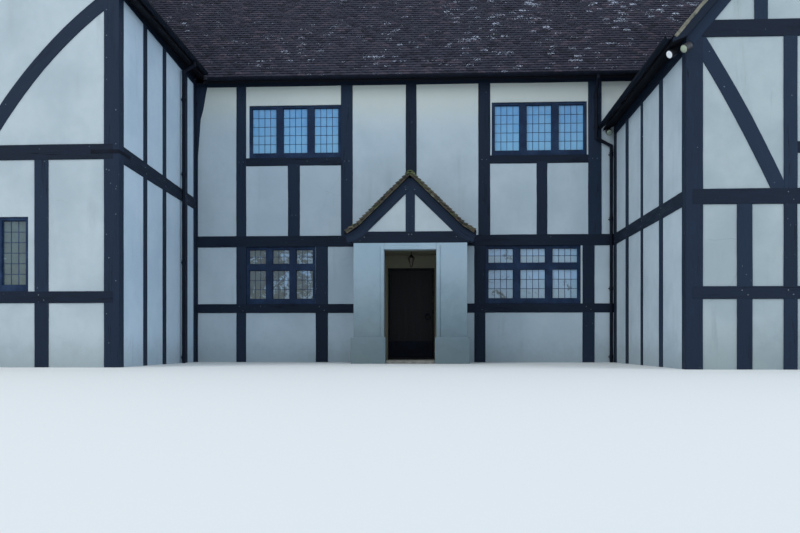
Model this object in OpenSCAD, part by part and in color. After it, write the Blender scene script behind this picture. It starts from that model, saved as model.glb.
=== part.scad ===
// Half timbered house: a hall range between a full-depth left cross wing and a lower right wing, with a
// gabled porch in the court. The porch's centre plane and the hall's front face meet at x = 0, y = 0 in the
// plan values below. X runs to the right, Y away from the court, Z up. Millimetres.

/* [House plan] */
// Porch centre plane to the left wing's court face
hall_left = 4805; // [4600:5:5400]
// Porch centre plane to the right wing's court face
hall_right = 4375; // [4250:5:5200]
// Depth of the hall range, front face to back face
hall_depth = 5600; // [5000:10:5760]
// Width of the left wing over its walls
left_w = 5800; // [5700:10:6200]
// Length of the left wing in front of the hall
left_out = 4220; // [3700:10:4600]
// Width of the right wing over its walls
right_w = 5100; // [4900:10:5400]
// Length of the right wing in front of the hall
right_out = 4875; // [4500:5:5400]

/* [Walls] */
// Thickness of every timber framed wall
wall_t = 200; // [180:5:260]
// Depth of the timbers let into a wall
timber_d = 150; // [110:5:165]
// How far the plaster stands back from the timbers
plaster_back = 15; // [5:1:30]
// Width of the posts on the walls that repeat plainly
plain_post_w = 230; // [180:5:260]
// Bay that the plain walls are divided by
plain_bay = 1450; // [1300:10:1700]
// Width of the wing's corner posts
corner_w = 255; // [230:5:320]

/* [Storey heights] */
// Underside of the roof at the hall's outer wall face
hall_eaves = 6200; // [6150:10:6600]
// Underside of the hall's eaves plate
hall_plate_z = 6100; // [5950:10:6120]
// Underside of the roof at the left wing's outer wall face
left_eaves = 6340; // [6320:10:6600]
// Underside of the left wing's eaves plate
left_plate_z = 6280; // [6200:10:6300]
// Underside of the roof at the right wing's outer wall face
right_eaves = 5120; // [5060:10:5400]
// Underside of the right wing's eaves plate
right_plate_z = 4920; // [4850:10:5000]
// Underside of the rail at the hall's upper floor
rail_z = 2550; // [2480:5:2620]
// Height of that rail
rail_h = 235; // [180:5:260]
// Underside of the rail at the left wing's upper floor
left_rail_z = 3510; // [3400:5:3600]
// Height of the left wing's rail
left_rail_h = 250; // [200:5:300]
// Underside of the rail below the ground storey windows
low_rail_z = 1090; // [1000:5:1120]
// Height of that rail
low_rail_h = 190; // [150:5:230]
// Underside of the rail below the upper windows
sill_rail_z = 4345; // [4300:5:4380]
// Height of that rail
sill_rail_h = 170; // [140:5:200]
// Tie beam above the plate's underside on the wing gables
tie_up = 206; // [190:2:320]
// Height of a tie beam
tie_h = 256; // [200:4:280]
// Depth of the gable rafters' face
rafter_w = 160; // [150:5:240]

/* [Hall front timbers] */
// Upper posts left of the porch: centre and width
upper_posts_left = [[-3793, 210], [-1443, 250]]; // [-4700:1:-1100]
// Upper post over the porch: centre and width
upper_post_mid = [-25, 230]; // [-300:1:300]
// Upper posts right of the porch: centre and width
upper_posts_right = [[1574, 250], [3967, 280]]; // [1100:1:4300]
// Studs under the upper windows: centre and width
sill_studs = [[-2618, 245], [2826, 216]]; // [-4700:1:4300]
// Ground posts left of the porch: centre and width
ground_posts_left = [[-3793, 210], [-1996, 264]]; // [-4700:1:-1100]
// Ground posts right of the porch: centre and width
ground_posts_right = [[1480, 233], [3831, 250]]; // [1100:1:4300]
// Jowled post in the left corner: how far it shows and how far below the plate, from its foot up
jowl_curve = [[36, 1540], [99, 700], [155, 490], [240, 0]]; // [0:1:1800]

/* [Wing timbers] */
// Lower studs of the left wing's front: distance from its corners and width
left_studs = [1334, 236]; // [1200:1:1600]
// Head of the long curved braces' centre line: distance from the corner and height
left_brace_head = [71, 6296]; // [60:1:6400]
// Middle of that line
left_brace_mid = [1342, 5158]; // [1250:1:5300]
// Foot of that line
left_brace_foot = [2356, 3733]; // [2300:1:3760]
// Width of these braces
left_brace_w = 234; // [200:1:280]
// Gable studs of the left wing: distance from its corners and width
left_gable_studs = [1800, 230]; // [1500:10:2100]
// Collar above the left wing's tie beam
left_collar_up = 1300; // [1100:10:1500]
// Studs of the left court wall: distance from the hall and width
left_court_studs = [[690, 190], [1993, 175], [3003, 168]]; // [150:1:3900]
// How far the left court wall's rail lies under the gables' rail, underside and top, at its front
left_court_drop = [40, 0]; // [0:5:80]
// The same at the hall, where the rail has sunk
left_court_sunk = [130, 145]; // [0:5:200]
// How far the left court wall's plate falls towards the hall
left_court_fall = 155; // [0:5:170]
// Studs of the right court wall: distance from the hall and width
right_court_studs = [[100, 200], [1128, 206], [2256, 135], [3500, 200]]; // [100:1:4500]
// Second posts of the right wing's front: distance from its corners and width
right_posts = [1580, 200]; // [1450:5:1800]
// Lower studs of the right wing's front: distance from its corners and width
right_studs = [890, 225]; // [700:1:1100]
// Gable studs of the right wing: distance from its corners and width
right_gable_studs = [1136, 200]; // [1000:1:1400]
// Head of the right wing's braces' centre line: distance from the corner and height
right_brace_head = [127, 5200]; // [100:1:5300]
// Middle of that line
right_brace_mid = [832, 3960]; // [800:1:4000]
// Foot of that line
right_brace_foot = [1428, 2740]; // [1350:1:2780]
// Width of these braces
right_brace_w = 225; // [180:1:260]

/* [Windows] */
// Upper windows of the hall front: left edge and right edge
upper_windows = [[-3617, -1568], [1738, 3800]]; // [-4700:1:4300]
// Ground windows of the hall front: left edge and right edge
ground_windows = [[-3688, -2136], [1600, 3667]]; // [-4700:1:4300]
// Underside of the upper windows' frames
upper_win_z = 4515; // [4515:5:4600]
// Top of the upper windows' frames
upper_win_top = 5680; // [5500:5:5900]
// Middle of the ground windows' transom
transom_z = 2103; // [1900:1:2200]
// Height of the transom
transom_h = 135; // [90:5:150]
// Width of a window frame's sides
win_side = 60; // [40:1:70]
// Width of the mullions
win_mullion = 143; // [90:1:150]
// Height of a window frame's head
win_head = 56; // [40:1:80]
// Height of a window frame's sill
win_sill = 112; // [80:1:130]
// Depth of the window joinery
win_d = 60; // [45:1:80]
// Outer wall face to the window joinery
win_back = 45; // [20:1:60]
// Thickness of the glass
glass_t = 6; // [4:1:10]
// Width of the plain windows on the unseen walls
plain_win_w = 1100; // [900:10:1180]
// Underside and top of the right wing's upper windows
right_upper_win = [3500, 4650]; // [3400:10:4700]

/* [Roofs] */
// Pitch of the house roofs
pitch = 50; // [46:1:52]
// Thickness of a roof slope, rafters and tiles together
roof_t = 180; // [140:5:220]
// How far the eaves reach past the walls
eaves_out = 230; // [180:5:300]
// Thickness of the eaves edge
eaves_edge = 100; // [70:5:130]
// How far the verges reach past the gable walls
verge_out = 100; // [60:5:160]
// Strip of the left wing's inner slope that runs through beside the ridge
ridge_strip = 90; // [50:5:95]

/* [Floors] */
// Top of the ground floor above the ground
ground_floor_z = 100; // [60:5:140]
// Thickness of the upper floors
floor_t = 220; // [180:5:260]

/* [Porch] */
// Width of the porch over its walls
porch_w = 2298; // [2200:2:2500]
// Depth of the porch in front of the hall
porch_d = 1350; // [1150:10:1600]
// Thickness of the porch walls
porch_t = 200; // [150:5:250]
// Width of the porch opening
arch_w = 1057; // [950:1:1200]
// Height of the porch opening
arch_h = 2312; // [2200:2:2400]
// Underside of the porch's tie beam
porch_tie_z = 2443; // [2420:1:2520]
// Height of the porch's tie beam
porch_tie_h = 231; // [180:1:260]
// Top of the timber apex
porch_apex_z = 3800; // [3700:5:3900]
// Half width where the porch roof starts to flare
flare_x = 1098; // [1000:1:1150]
// Height of the rafters' upper edge where they start to flare
flare_z = 2728; // [2710:1:2780]
// Half width over the flared rafter feet
foot_x = 1300; // [1250:1:1320]
// Height of the rafters' upper edge at the feet
foot_z = 2630; // [2600:1:2680]
// Height of the porch rafters' face, measured upright
porch_rafter_h = 275; // [220:5:300]
// Half width of the porch's king stud
king_half = 90; // [70:1:110]
// Thickness of the porch roof
porch_roof_t = 100; // [70:5:120]
// How far the porch roof reaches past its gable
porch_verge = 100; // [50:5:150]
// How far the porch roof reaches past the flared feet
porch_eaves = 32; // [10:1:60]
// Mortar bed between the porch's side plates and its tiles
plate_bed = 2; // [1:1:5]
// Height of the plinth round the porch
plinth_h = 531; // [400:1:600]
// How far the plinth stands proud
plinth_out = 55; // [30:5:80]
// Width of the raised band round the opening
band_w = 75; // [50:1:100]
// How far that band stands proud
band_out = 22; // [12:1:30]
// Height of the stone threshold
threshold_h = 65; // [40:5:90]
// Thickness of the porch ceiling
ceiling_t = 100; // [60:5:110]

/* [Door] */
// Centre of the doorway from the porch's centre plane
door_x = -23; // [-80:1:80]
// Width over the door frame
doorway_w = 1020; // [950:1:1100]
// Top of the door frame
doorway_top = 2065; // [2000:1:2150]
// Face width of the door frame
door_jamb = 32; // [25:1:60]
// Clearance round the leaf
door_gap = 8; // [6:1:12]
// Thickness of the leaf
leaf_t = 50; // [40:1:60]
// Outer wall face to the leaf
leaf_back = 60; // [40:1:90]
// Depth of the door frame
door_frame_d = 130; // [110:5:160]
// Height of the kick board
kick_h = 360; // [250:5:450]
// Thickness of the kick board
kick_t = 14; // [8:1:20]
// Height of the ring handle above the ground
handle_z = 1050; // [900:10:1200]
// Radius of the ring handle
ring_r = 55; // [40:1:70]
// Thickness of the ring itself
ring_bar = 14; // [10:1:18]
// Radius and thickness of the round plate behind the ring
ring_plate = [32, 8]; // [6:1:40]
// Radius of the stem that holds the ring
ring_stem_r = 10; // [7:1:14]
// Ring handle's distance from the leaf's free edge
handle_in = 110; // [80:5:160]

/* [Fittings] */
// Outer radius of the half round gutters
gutter_r = 57; // [45:1:65]
// Thickness of the gutters
gutter_t = 5; // [4:1:8]
// Outer radius of the downpipes
pipe_r = 35; // [30:1:40]
// How far the sockets at a downpipe's bends stand proud
pipe_socket = 5; // [3:1:9]
// Height of the downpipes' offset under the gutter, left and right
pipe_swan = [200, 300]; // [180:10:400]
// Distance of a downpipe's centre from the wall
pipe_off = 60; // [50:1:80]
// Right downpipe's distance from the right wing, above and below its bend
right_pipe_x = [390, 70]; // [50:5:450]
// Left downpipe's distance from the hall
left_pipe_y = 1040; // [600:5:1200]
// Height of the right pipe's bend towards the wing, top and foot
right_bend_z = [4850, 4680]; // [4500:5:5150]
// Radius of the flood lamps
lamp_r = 65; // [50:1:80]
// Length of the flood lamps
lamp_l = 130; // [90:5:160]
// Length of a flood lamp's arm
lamp_arm = 95; // [80:5:160]
// Angle that a flood lamp's body makes with the upright
lamp_dip = 60; // [50:5:80]
// Lamps at the right corner: right, back and up from the plate, turn of the arm, swing of the lamp
corner_lamps = [[0, 245, 80, -90, 25], [15, 0, 35, 0, -60]]; // [-90:1:300]
// Lamp on the hall front: distance from the right wing and height over its plate
court_lamp = [140, 75]; // [60:1:200]
// Width across the lantern's cap
lantern_w = 156; // [120:2:180]
// How far the cap reaches past the lantern's body
lantern_lip = 8; // [5:1:20]
// Height of the cap
lantern_cap = 72; // [40:2:100]
// Width across the lantern's foot
lantern_foot = 44; // [30:2:80]
// Height of the lantern under its rod
lantern_h = 270; // [220:5:280]
// Length of the rod that the lantern hangs by
lantern_rod = 60; // [40:5:100]
// Radius of that rod
lantern_rod_r = 8; // [5:1:12]
// Thickness of the corner post's iron strap
strap_t = 8; // [5:1:12]
// Height of the strap
strap_h = 60; // [50:5:90]
// How far the strap runs along each rail
strap_l = 480; // [350:10:600]

/* [Hidden] */

timber_c = "#23262e";
plaster_c = "#e9e2d0";
tile_c = "#5b4038";
moss_c = "#8a7a55";
glass_c = "#8fb3d0";
stone_c = "#b9b3a4";
iron_c = "#1b1d20";
board_c = "#8b6f4e";
lamp_c = "#c8cacc";

// Plan lines of the wings
left_x1 = -hall_left;
left_x0 = left_x1 - left_w;
left_mid = left_x1 - left_w / 2;
right_x0 = hall_right;
right_x1 = right_x0 + right_w;
right_mid = right_x0 + right_w / 2;
left_side_y0 = wall_t - left_out;
left_side_y1 = hall_depth - wall_t;
right_side_y0 = wall_t - right_out;
end_mid = hall_depth / 2;

// Heights
rise = tan(pitch);
roof_v = roof_t / cos(pitch);
rafter_v = rafter_w / cos(pitch);
edge_up = roof_v - eaves_out * rise;
left_top = left_eaves + left_w / 2 * rise;
hall_top = hall_eaves + hall_depth / 2 * rise;
right_top = right_eaves + right_w / 2 * rise;
wall_head = wall_t * rise;
rail_top = rail_z + rail_h;
left_rail_top = left_rail_z + left_rail_h;
low_rail_top = low_rail_z + low_rail_h;
sill_rail_top = sill_rail_z + sill_rail_h;
hall_tie_z = hall_plate_z + tie_up;
left_tie_z = left_plate_z + tie_up;
right_tie_z = right_plate_z + tie_up;

// The whole model stands with the middle of its box on the origin
gutter_reach = eaves_out + 2 * gutter_r;
shift_x = -(left_x0 + right_x1) / 2;
shift_y = (right_out + verge_out - hall_depth - gutter_reach) / 2;

// Doorway
doorway_x0 = door_x - doorway_w / 2;
doorway_x1 = door_x + doorway_w / 2;
leaf_x0 = doorway_x0 + door_jamb + door_gap;
leaf_x1 = doorway_x1 - door_jamb - door_gap;
leaf_top = doorway_top - door_jamb - door_gap;
leaf_z0 = ground_floor_z + door_gap;

// A flat outline drawn in x and z, made solid from y0 to y1
module along_y(y0, y1) translate([0, y1, 0]) rotate([90, 0, 0]) linear_extrude(y1 - y0) children();

// A flat outline drawn in y and z, made solid from x0 to x1
module along_x(x0, x1) translate([x0, 0, 0]) rotate([90, 0, 90]) linear_extrude(x1 - x0) children();

// A layer of a wall between two depths behind its outer face; out is the way that the wall looks
module layer(axis, face, out, d0, d1) {
    near = min(-out * d0, -out * d1);
    far = max(-out * d0, -out * d1);
    if (axis == "y") along_y(face + near, face + far) children();
    else along_x(face + near, face + far) children();
}

// One wall, either its timber frame or the plaster that the timbers are let into.
// Children: timbers, posts that are as deep as the wall, openings, outline.
module wall(solid, axis, face, out, deep_posts = true) {
    if (solid == "frame") {
        layer(axis, face, out, 0, timber_d) intersection() {
            union() {
                children(0);
                if (deep_posts) children(1);
            }
            difference() {
                children(3);
                children(2);
            }
        }
        if (deep_posts) layer(axis, face, out, timber_d, wall_t) intersection() {
            children(1);
            children(3);
        }
    } else difference() {
        layer(axis, face, out, plaster_back, wall_t) difference() {
            children(3);
            children(2);
            if (deep_posts) children(1);
        }
        layer(axis, face, out, -1, timber_d) children(0);
    }
}

module bar(a0, a1, z0, z1) translate([a0, z0]) square([a1 - a0, z1 - z0]);
module post(a, w, z0, z1) bar(a - w / 2, a + w / 2, z0, z1);

// The same post at an equal distance from both ends of a wall
module both_ends(a0, a1, stud, z0, z1) {
    post(a0 + stud[0], stud[1], z0, z1);
    post(a1 - stud[0], stud[1], z0, z1);
}

// Number of bays in a plain wall, and the places of their dividing posts and middles
function bays(a0, a1) = max(2, round((a1 - a0) / plain_bay));
function bay_line(a0, a1, i) = a0 + (a1 - a0) * i / bays(a0, a1);

// House shaped outline under a pair of slopes
module gable_outline(a0, a1, eaves, top)
    polygon([[a0, 0], [a1, 0], [a1, eaves], [(a0 + a1) / 2, top], [a0, eaves]]);

// Rafters that follow the slopes, seen in a gable
module gable_rafters(a0, a1, eaves, top) difference() {
    gable_outline(a0, a1, eaves, top);
    translate([0, -rafter_v]) gable_outline(a0 - 1, a1 + 1, eaves, top);
}

// Volumes under the roofs, which walls are cut to
module under_hall(x0, x1) along_x(x0, x1) gable_outline(0, hall_depth, hall_eaves, hall_top);
module under_left() along_y(-left_out, hall_depth) gable_outline(left_x0, left_x1, left_eaves, left_top);
module under_right() along_y(-right_out, 0) gable_outline(right_x0, right_x1, right_eaves, right_top);

// Windows as [left, right, underside, top, lights, has a transom]
function hall_window(w, z, transom) = [w[0], w[1], z[0], z[1], 3, transom];
function plain_window(mid, z) = [mid - plain_win_w / 2, mid + plain_win_w / 2, z[0], z[1], 2, false];

// Every second bay of a plain wall has a window
function plain_set(a0, a1, z) =
    [for (i = [1:2:bays(a0, a1) - 1]) plain_window(bay_line(a0, a1, i + 0.5), z)];

// Windows of each storey, wall by wall, as [axis, face, way that the wall looks, windows]
ground_win = [low_rail_top, rail_z];
upper_win = [upper_win_z, upper_win_top];
hall_ground = [for (w = ground_windows) hall_window(w, ground_win, true)];
hall_upper = [for (w = upper_windows) hall_window(w, upper_win, false)];
left_gable_ground =
    [for (s = [-1, 1]) plain_window(left_mid + s * (left_w / 2 - left_studs[0]) / 2, ground_win)];
left_gable_upper = [plain_window(left_mid, upper_win)];
right_gable_ground = [plain_window(right_mid, ground_win)];
right_gable_upper = [plain_window(right_mid, right_upper_win)];
left_outer_ground = plain_set(left_side_y0, left_side_y1, ground_win);
left_outer_upper = plain_set(left_side_y0, left_side_y1, upper_win);
right_outer_ground = plain_set(right_side_y0, 0, ground_win);
right_outer_upper = plain_set(right_side_y0, 0, right_upper_win);
end_ground = [for (s = [-1, 1]) plain_window(end_mid + s * hall_depth / 4, ground_win)];
end_upper = [for (s = [-1, 1]) plain_window(end_mid + s * hall_depth / 4, upper_win)];
back_ground = plain_set(left_x1, right_x1, ground_win);
back_upper = plain_set(left_x1, right_x1, upper_win);

ground_storey = [
    ["y", 0, -1, hall_ground], ["y", hall_depth, 1, concat(back_ground, left_gable_ground)],
    ["y", -left_out, -1, left_gable_ground], ["y", -right_out, -1, right_gable_ground],
    ["x", left_x0, -1, left_outer_ground], ["x", right_x1, 1, concat(right_outer_ground, end_ground)]
];
upper_storey = [
    ["y", 0, -1, hall_upper], ["y", hall_depth, 1, concat(back_upper, left_gable_upper)],
    ["y", -left_out, -1, left_gable_upper], ["y", -right_out, -1, right_gable_upper],
    ["x", left_x0, -1, left_outer_upper], ["x", right_x1, 1, concat(right_outer_upper, end_upper)]
];

module openings(list) for (w = list) bar(w[0], w[1], w[2], w[3]);

module joinery(w) {
    light_w = (w[1] - w[0] - 2 * win_side - (w[4] - 1) * win_mullion) / w[4];
    difference() {
        bar(w[0], w[1], w[2], w[3]);
        for (i = [0:w[4] - 1]) {
            a = w[0] + win_side + i * (light_w + win_mullion);
            difference() {
                bar(a, a + light_w, w[2] + win_sill, w[3] - win_head);
                if (w[5]) bar(w[0], w[1], transom_z - transom_h / 2, transom_z + transom_h / 2);
            }
        }
    }
}

module window_frames(storey) for (row = storey, w = row[3])
    layer(row[0], row[1], row[2], win_back, win_back + win_d) joinery(w);

module glass(storey) for (row = storey, w = row[3])
    layer(row[0], row[1], row[2], win_back + win_d, win_back + win_d + glass_t) openings([w]);

module ground_window_frames() color(timber_c) window_frames(ground_storey);
module upper_window_frames() color(timber_c) window_frames(upper_storey);
module ground_glass() color(glass_c) glass(ground_storey);
module upper_glass() color(glass_c) glass(upper_storey);

// Hall front
module hall_front_timbers() {
    for (p = concat(upper_posts_left, [upper_post_mid], upper_posts_right))
        post(p[0], p[1], rail_z, hall_plate_z);
    for (p = concat(ground_posts_left, ground_posts_right)) post(p[0], p[1], 0, rail_top);
    for (p = sill_studs) post(p[0], p[1], rail_top, sill_rail_z);
    bar(left_x1, right_x0, rail_z, rail_top);
    for (pair = [upper_posts_left, upper_posts_right])
        bar(pair[0][0], pair[1][0], sill_rail_z, sill_rail_top);
    bar(left_x1, porch_t - porch_w / 2, low_rail_z, low_rail_top);
    bar(porch_w / 2 - porch_t, right_x0, low_rail_z, low_rail_top);
    polygon(concat(
        [[left_x1, 0], [left_x1 + jowl_curve[0][0], 0]],
        [for (p = jowl_curve) [left_x1 + p[0], hall_plate_z - p[1]]],
        [[left_x1, hall_plate_z]]
    ));
}

// Posts behind the wings' court walls; above the right wing's plate the wall is plaster
module end_posts() {
    bar(left_x1 - wall_t, left_x1, 0, hall_plate_z);
    bar(right_x0, right_x0 + wall_t, 0, right_plate_z);
}

module hall_front(solid) wall(solid, "y", 0, -1) {
    hall_front_timbers();
    end_posts();
    union() {
        openings(concat(hall_upper, hall_ground));
        bar(doorway_x0, doorway_x1, 0, hall_plate_z);
    }
    union() {
        bar(left_x1, right_x0, 0, hall_plate_z);
        end_posts();
    }
}

module over_door(solid) wall(solid, "y", 0, -1, false) {
    hall_front_timbers();
    openings([]);
    openings([]);
    bar(doorway_x0, doorway_x1, doorway_top, hall_plate_z);
}

module hall_front_frame() color(timber_c) hall_front("frame");
module hall_front_plaster() color(plaster_c) hall_front("plaster");
module over_door_frame() color(timber_c) over_door("frame");
module over_door_plaster() color(plaster_c) over_door("plaster");

module hall_eaves_plate() color(timber_c) intersection() {
    layer("y", 0, -1, 0, wall_t)
        bar(left_x1 - wall_t, right_x1 - wall_t, hall_plate_z, hall_eaves + wall_head);
    under_hall(left_x1 - wall_t, right_x1);
}

module wall_over_right_wing() color(plaster_c) layer("y", 0, -1, plaster_back, wall_t)
    bar(right_x0, right_x1 - wall_t, right_plate_z, hall_plate_z);

// Timbers of a plain wall in even bays
module plain_timbers(a0, a1, rail, plate, eaves, upper) {
    for (i = [1:bays(a0, a1) - 1]) post(bay_line(a0, a1, i), plain_post_w, 0, eaves + wall_head);
    bar(a0, a1, rail[0], rail[1]);
    bar(a0, a1, plate, eaves + wall_head);
    bar(a0, a1, low_rail_z, low_rail_top);
    for (w = upper) post((w[0] + w[1]) / 2, plain_bay, w[2] - sill_rail_h, w[2]);
}

// Back of the hall range
module hall_back(solid) intersection() {
    wall(solid, "y", hall_depth, 1) {
        plain_timbers(left_x1, right_x1, [rail_z, rail_top], hall_plate_z, hall_eaves, back_upper);
        for (x = [left_x1, right_x1 - corner_w]) bar(x, x + corner_w, 0, hall_eaves + wall_head);
        openings(concat(back_ground, back_upper));
        bar(left_x1, right_x1, 0, hall_eaves + wall_head);
    }
    under_hall(left_x1, right_x1);
}

module hall_back_frame() color(timber_c) hall_back("frame");
module hall_back_plaster() color(plaster_c) hall_back("plaster");

// Curved brace of a wing's gable: a line through a head, a middle and a foot, and its two edges
brace_steps = 8;
function brace_line(p, t) = (1 - t) * (1 - t) * p[0] + t * t * p[2]
    + 2 * t * (1 - t) * (2 * p[1] - (p[0] + p[2]) / 2);
function brace_way(p, t) = brace_line(p, t + 0.01) - brace_line(p, t - 0.01);
function brace_edge(p, w, t, side) = let (d = brace_way(p, t) / norm(brace_way(p, t)))
    brace_line(p, t) + side * w / 2 * [-d[1], d[0]];

module curved_brace(p, w) polygon(concat(
    [for (i = [0:brace_steps]) brace_edge(p, w, i / brace_steps, 1)],
    [for (i = [brace_steps:-1:0]) brace_edge(p, w, i / brace_steps, -1)]
));

// Gables of the left wing, front and back
module left_gable_timbers() {
    sill_half = plain_win_w / 2 + win_side;
    both_ends(left_x0, left_x1, left_studs, 0, left_rail_z);
    both_ends(left_x0, left_x1, left_gable_studs, left_tie_z, left_top);
    post(left_mid, plain_post_w, 0, upper_win_z);
    post(left_mid, plain_post_w, upper_win_top, left_top);
    bar(left_mid - sill_half, left_mid + sill_half, sill_rail_z, upper_win_z);
    bar(left_x0, left_x1, left_rail_z, left_rail_top);
    bar(left_x0, left_x1, low_rail_z, low_rail_top);
    bar(left_x0, left_x1, left_tie_z, left_tie_z + tie_h);
    bar(left_x0, left_x1, left_tie_z + left_collar_up, left_tie_z + left_collar_up + tie_h);
    brace = [left_brace_head, left_brace_mid, left_brace_foot];
    intersection() {
        union() {
            translate([left_x1, 0]) mirror([1, 0]) curved_brace(brace, left_brace_w);
            translate([left_x0, 0]) curved_brace(brace, left_brace_w);
        }
        bar(left_x0, left_x1, left_rail_z, left_tie_z);
    }
    gable_rafters(left_x0, left_x1, left_eaves, left_top);
}

module left_gable(solid, face, out) wall(solid, "y", face, out) {
    left_gable_timbers();
    for (x = [left_x0, left_x1 - corner_w]) bar(x, x + corner_w, 0, left_tie_z);
    openings(concat(left_gable_ground, left_gable_upper));
    gable_outline(left_x0, left_x1, left_eaves, left_top);
}

module left_gables(solid) {
    left_gable(solid, -left_out, -1);
    left_gable(solid, hall_depth, 1);
}

module left_wing_gable_frames() color(timber_c) left_gables("frame");
module left_wing_gable_plaster() color(plaster_c) left_gables("plaster");

// Side walls of the left wing
module left_court_timbers() {
    head = left_eaves + wall_head;
    for (s = left_court_studs) post(-s[0], s[1], 0, left_plate_z);
    bar(-timber_d, 0, 0, head);
    polygon([[left_side_y0, left_rail_z - left_court_drop[0]], [0, left_rail_z - left_court_sunk[0]],
        [0, left_rail_top - left_court_sunk[1]], [left_side_y0, left_rail_top - left_court_drop[1]]]);
    polygon([[left_side_y0, left_plate_z], [0, left_plate_z - left_court_fall], [0, head],
        [left_side_y0, head]]);
}

module left_sides(solid) intersection() {
    union() {
        wall(solid, "x", left_x1, 1, false) {
            left_court_timbers();
            openings([]);
            openings([]);
            bar(left_side_y0, 0, 0, left_eaves + wall_head);
        }
        wall(solid, "x", left_x0, -1, false) {
            plain_timbers(left_side_y0, left_side_y1, [left_rail_z, left_rail_top], left_plate_z, left_eaves,
                left_outer_upper);
            openings([]);
            openings(concat(left_outer_ground, left_outer_upper));
            bar(left_side_y0, left_side_y1, 0, left_eaves + wall_head);
        }
    }
    under_left();
}

module left_wing_side_frames() color(timber_c) left_sides("frame");
module left_wing_side_plaster() color(plaster_c) left_sides("plaster");

// Front gable of the right wing
module right_front_timbers() {
    both_ends(right_x0, right_x1, right_posts, 0, right_tie_z);
    both_ends(right_x0, right_x1, right_studs, 0, rail_z);
    both_ends(right_x0, right_x1, right_gable_studs, right_tie_z, right_top);
    post(right_mid, plain_post_w, right_tie_z, right_top);
    bar(right_x0, right_x1, rail_z, rail_top);
    bar(right_x0, right_x1, low_rail_z, low_rail_top);
    bar(right_x0, right_x1, right_tie_z, right_tie_z + tie_h);
    sill_x = right_posts[0];
    brace = [right_brace_head, right_brace_mid, right_brace_foot];
    bar(right_x0 + sill_x, right_x1 - sill_x, right_upper_win[0] - sill_rail_h, right_upper_win[0]);
    intersection() {
        union() {
            translate([right_x0, 0]) curved_brace(brace, right_brace_w);
            translate([right_x1, 0]) mirror([1, 0]) curved_brace(brace, right_brace_w);
        }
        bar(right_x0, right_x1, rail_top, right_tie_z);
    }
    gable_rafters(right_x0, right_x1, right_eaves, right_top);
}

// End gable of the hall range, which looks to the right
module end_timbers() {
    post(end_mid, plain_post_w, 0, hall_top);
    both_ends(0, hall_depth, [hall_depth / 4, plain_post_w], hall_tie_z, hall_top);
    for (s = [-1, 1], e = [-1, 1])
        post(end_mid + s * hall_depth / 4 + e * (plain_win_w + plain_post_w) / 2, plain_post_w, 0,
            hall_tie_z);
    for (z = [[rail_z, rail_top], [low_rail_z, low_rail_top], [sill_rail_z, sill_rail_top],
        [hall_tie_z, hall_tie_z + tie_h]]) bar(0, hall_depth, z[0], z[1]);
    gable_rafters(0, hall_depth, hall_eaves, hall_top);
}

module right_gables(solid) {
    wall(solid, "y", -right_out, -1) {
        right_front_timbers();
        for (x = [right_x0, right_x1 - corner_w]) bar(x, x + corner_w, 0, right_tie_z);
        openings(concat(right_gable_ground, right_gable_upper));
        gable_outline(right_x0, right_x1, right_eaves, right_top);
    }
    wall(solid, "x", right_x1, 1) {
        end_timbers();
        bar(0, corner_w, 0, hall_tie_z);
        openings(concat(end_ground, end_upper));
        intersection() {
            gable_outline(0, hall_depth, hall_eaves, hall_top);
            bar(0, hall_depth - wall_t, 0, hall_top);
        }
    }
}

module right_gable_frames() color(timber_c) right_gables("frame");
module right_gable_plaster() color(plaster_c) right_gables("plaster");

// Side walls of the right wing
module right_court_timbers() {
    for (s = right_court_studs) post(-s[0], s[1], 0, right_plate_z);
    bar(right_side_y0, 0, rail_z, rail_top);
    bar(right_side_y0, 0, right_plate_z, right_eaves + wall_head);
}

module right_sides(solid) intersection() {
    union() {
        wall(solid, "x", right_x0, -1, false) {
            right_court_timbers();
            openings([]);
            openings([]);
            bar(right_side_y0, 0, 0, right_eaves + wall_head);
        }
        wall(solid, "x", right_x1, 1, false) {
            plain_timbers(right_side_y0, 0, [rail_z, rail_top], right_plate_z, right_eaves,
                right_outer_upper);
            openings([]);
            openings(concat(right_outer_ground, right_outer_upper));
            bar(right_side_y0, 0, 0, right_eaves + wall_head);
        }
    }
    under_right();
}

module right_wing_side_frames() color(timber_c) right_sides("frame");
module right_wing_side_plaster() color(plaster_c) right_sides("plaster");

// Section of one slope from its eaves at a to its ridge; way is the way that it rises
module slope(a, way, half, eaves) {
    top = eaves + half * rise;
    polygon([[a - way * eaves_out, eaves + edge_up], [a - way * eaves_out, eaves + edge_up - eaves_edge],
        [a, eaves], [a + way * half, top], [a + way * half, top + roof_v]]);
}

// All that lies under a pair of slopes' outer faces
module under_tiles(a0, a1, eaves) {
    mid = (a0 + a1) / 2;
    polygon([[a0 - eaves_out, 0], [a1 + eaves_out, 0], [a1 + eaves_out, eaves + edge_up],
        [mid, eaves + (a1 - a0) / 2 * rise + roof_v], [a0 - eaves_out, eaves + edge_up]]);
}

module left_slope(a, way)
    along_y(-left_out - verge_out, hall_depth + verge_out) slope(a, way, left_w / 2, left_eaves);

module hall_slope(a, way)
    along_x(left_mid, right_x1 + verge_out) slope(a, way, hall_depth / 2, hall_eaves);

module right_slope(a, way)
    along_y(-right_out - verge_out, hall_depth / 2) slope(a, way, right_w / 2, right_eaves);

// The wings' slopes run back until they meet the hall's; the valleys lie where they cross
module left_roof_outer() color(tile_c) left_slope(left_x0, 1);

module left_roof_inner() color(tile_c) difference() {
    left_slope(left_x1, -1);
    under_hall(left_mid + ridge_strip, left_x1 + gutter_reach);
}

module hall_roof_front() color(tile_c) difference() {
    hall_slope(0, 1);
    along_y(-gutter_reach, hall_depth) {
        under_tiles(left_x0, left_x1, left_eaves);
        under_tiles(right_x0, right_x1, right_eaves);
    }
}

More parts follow.
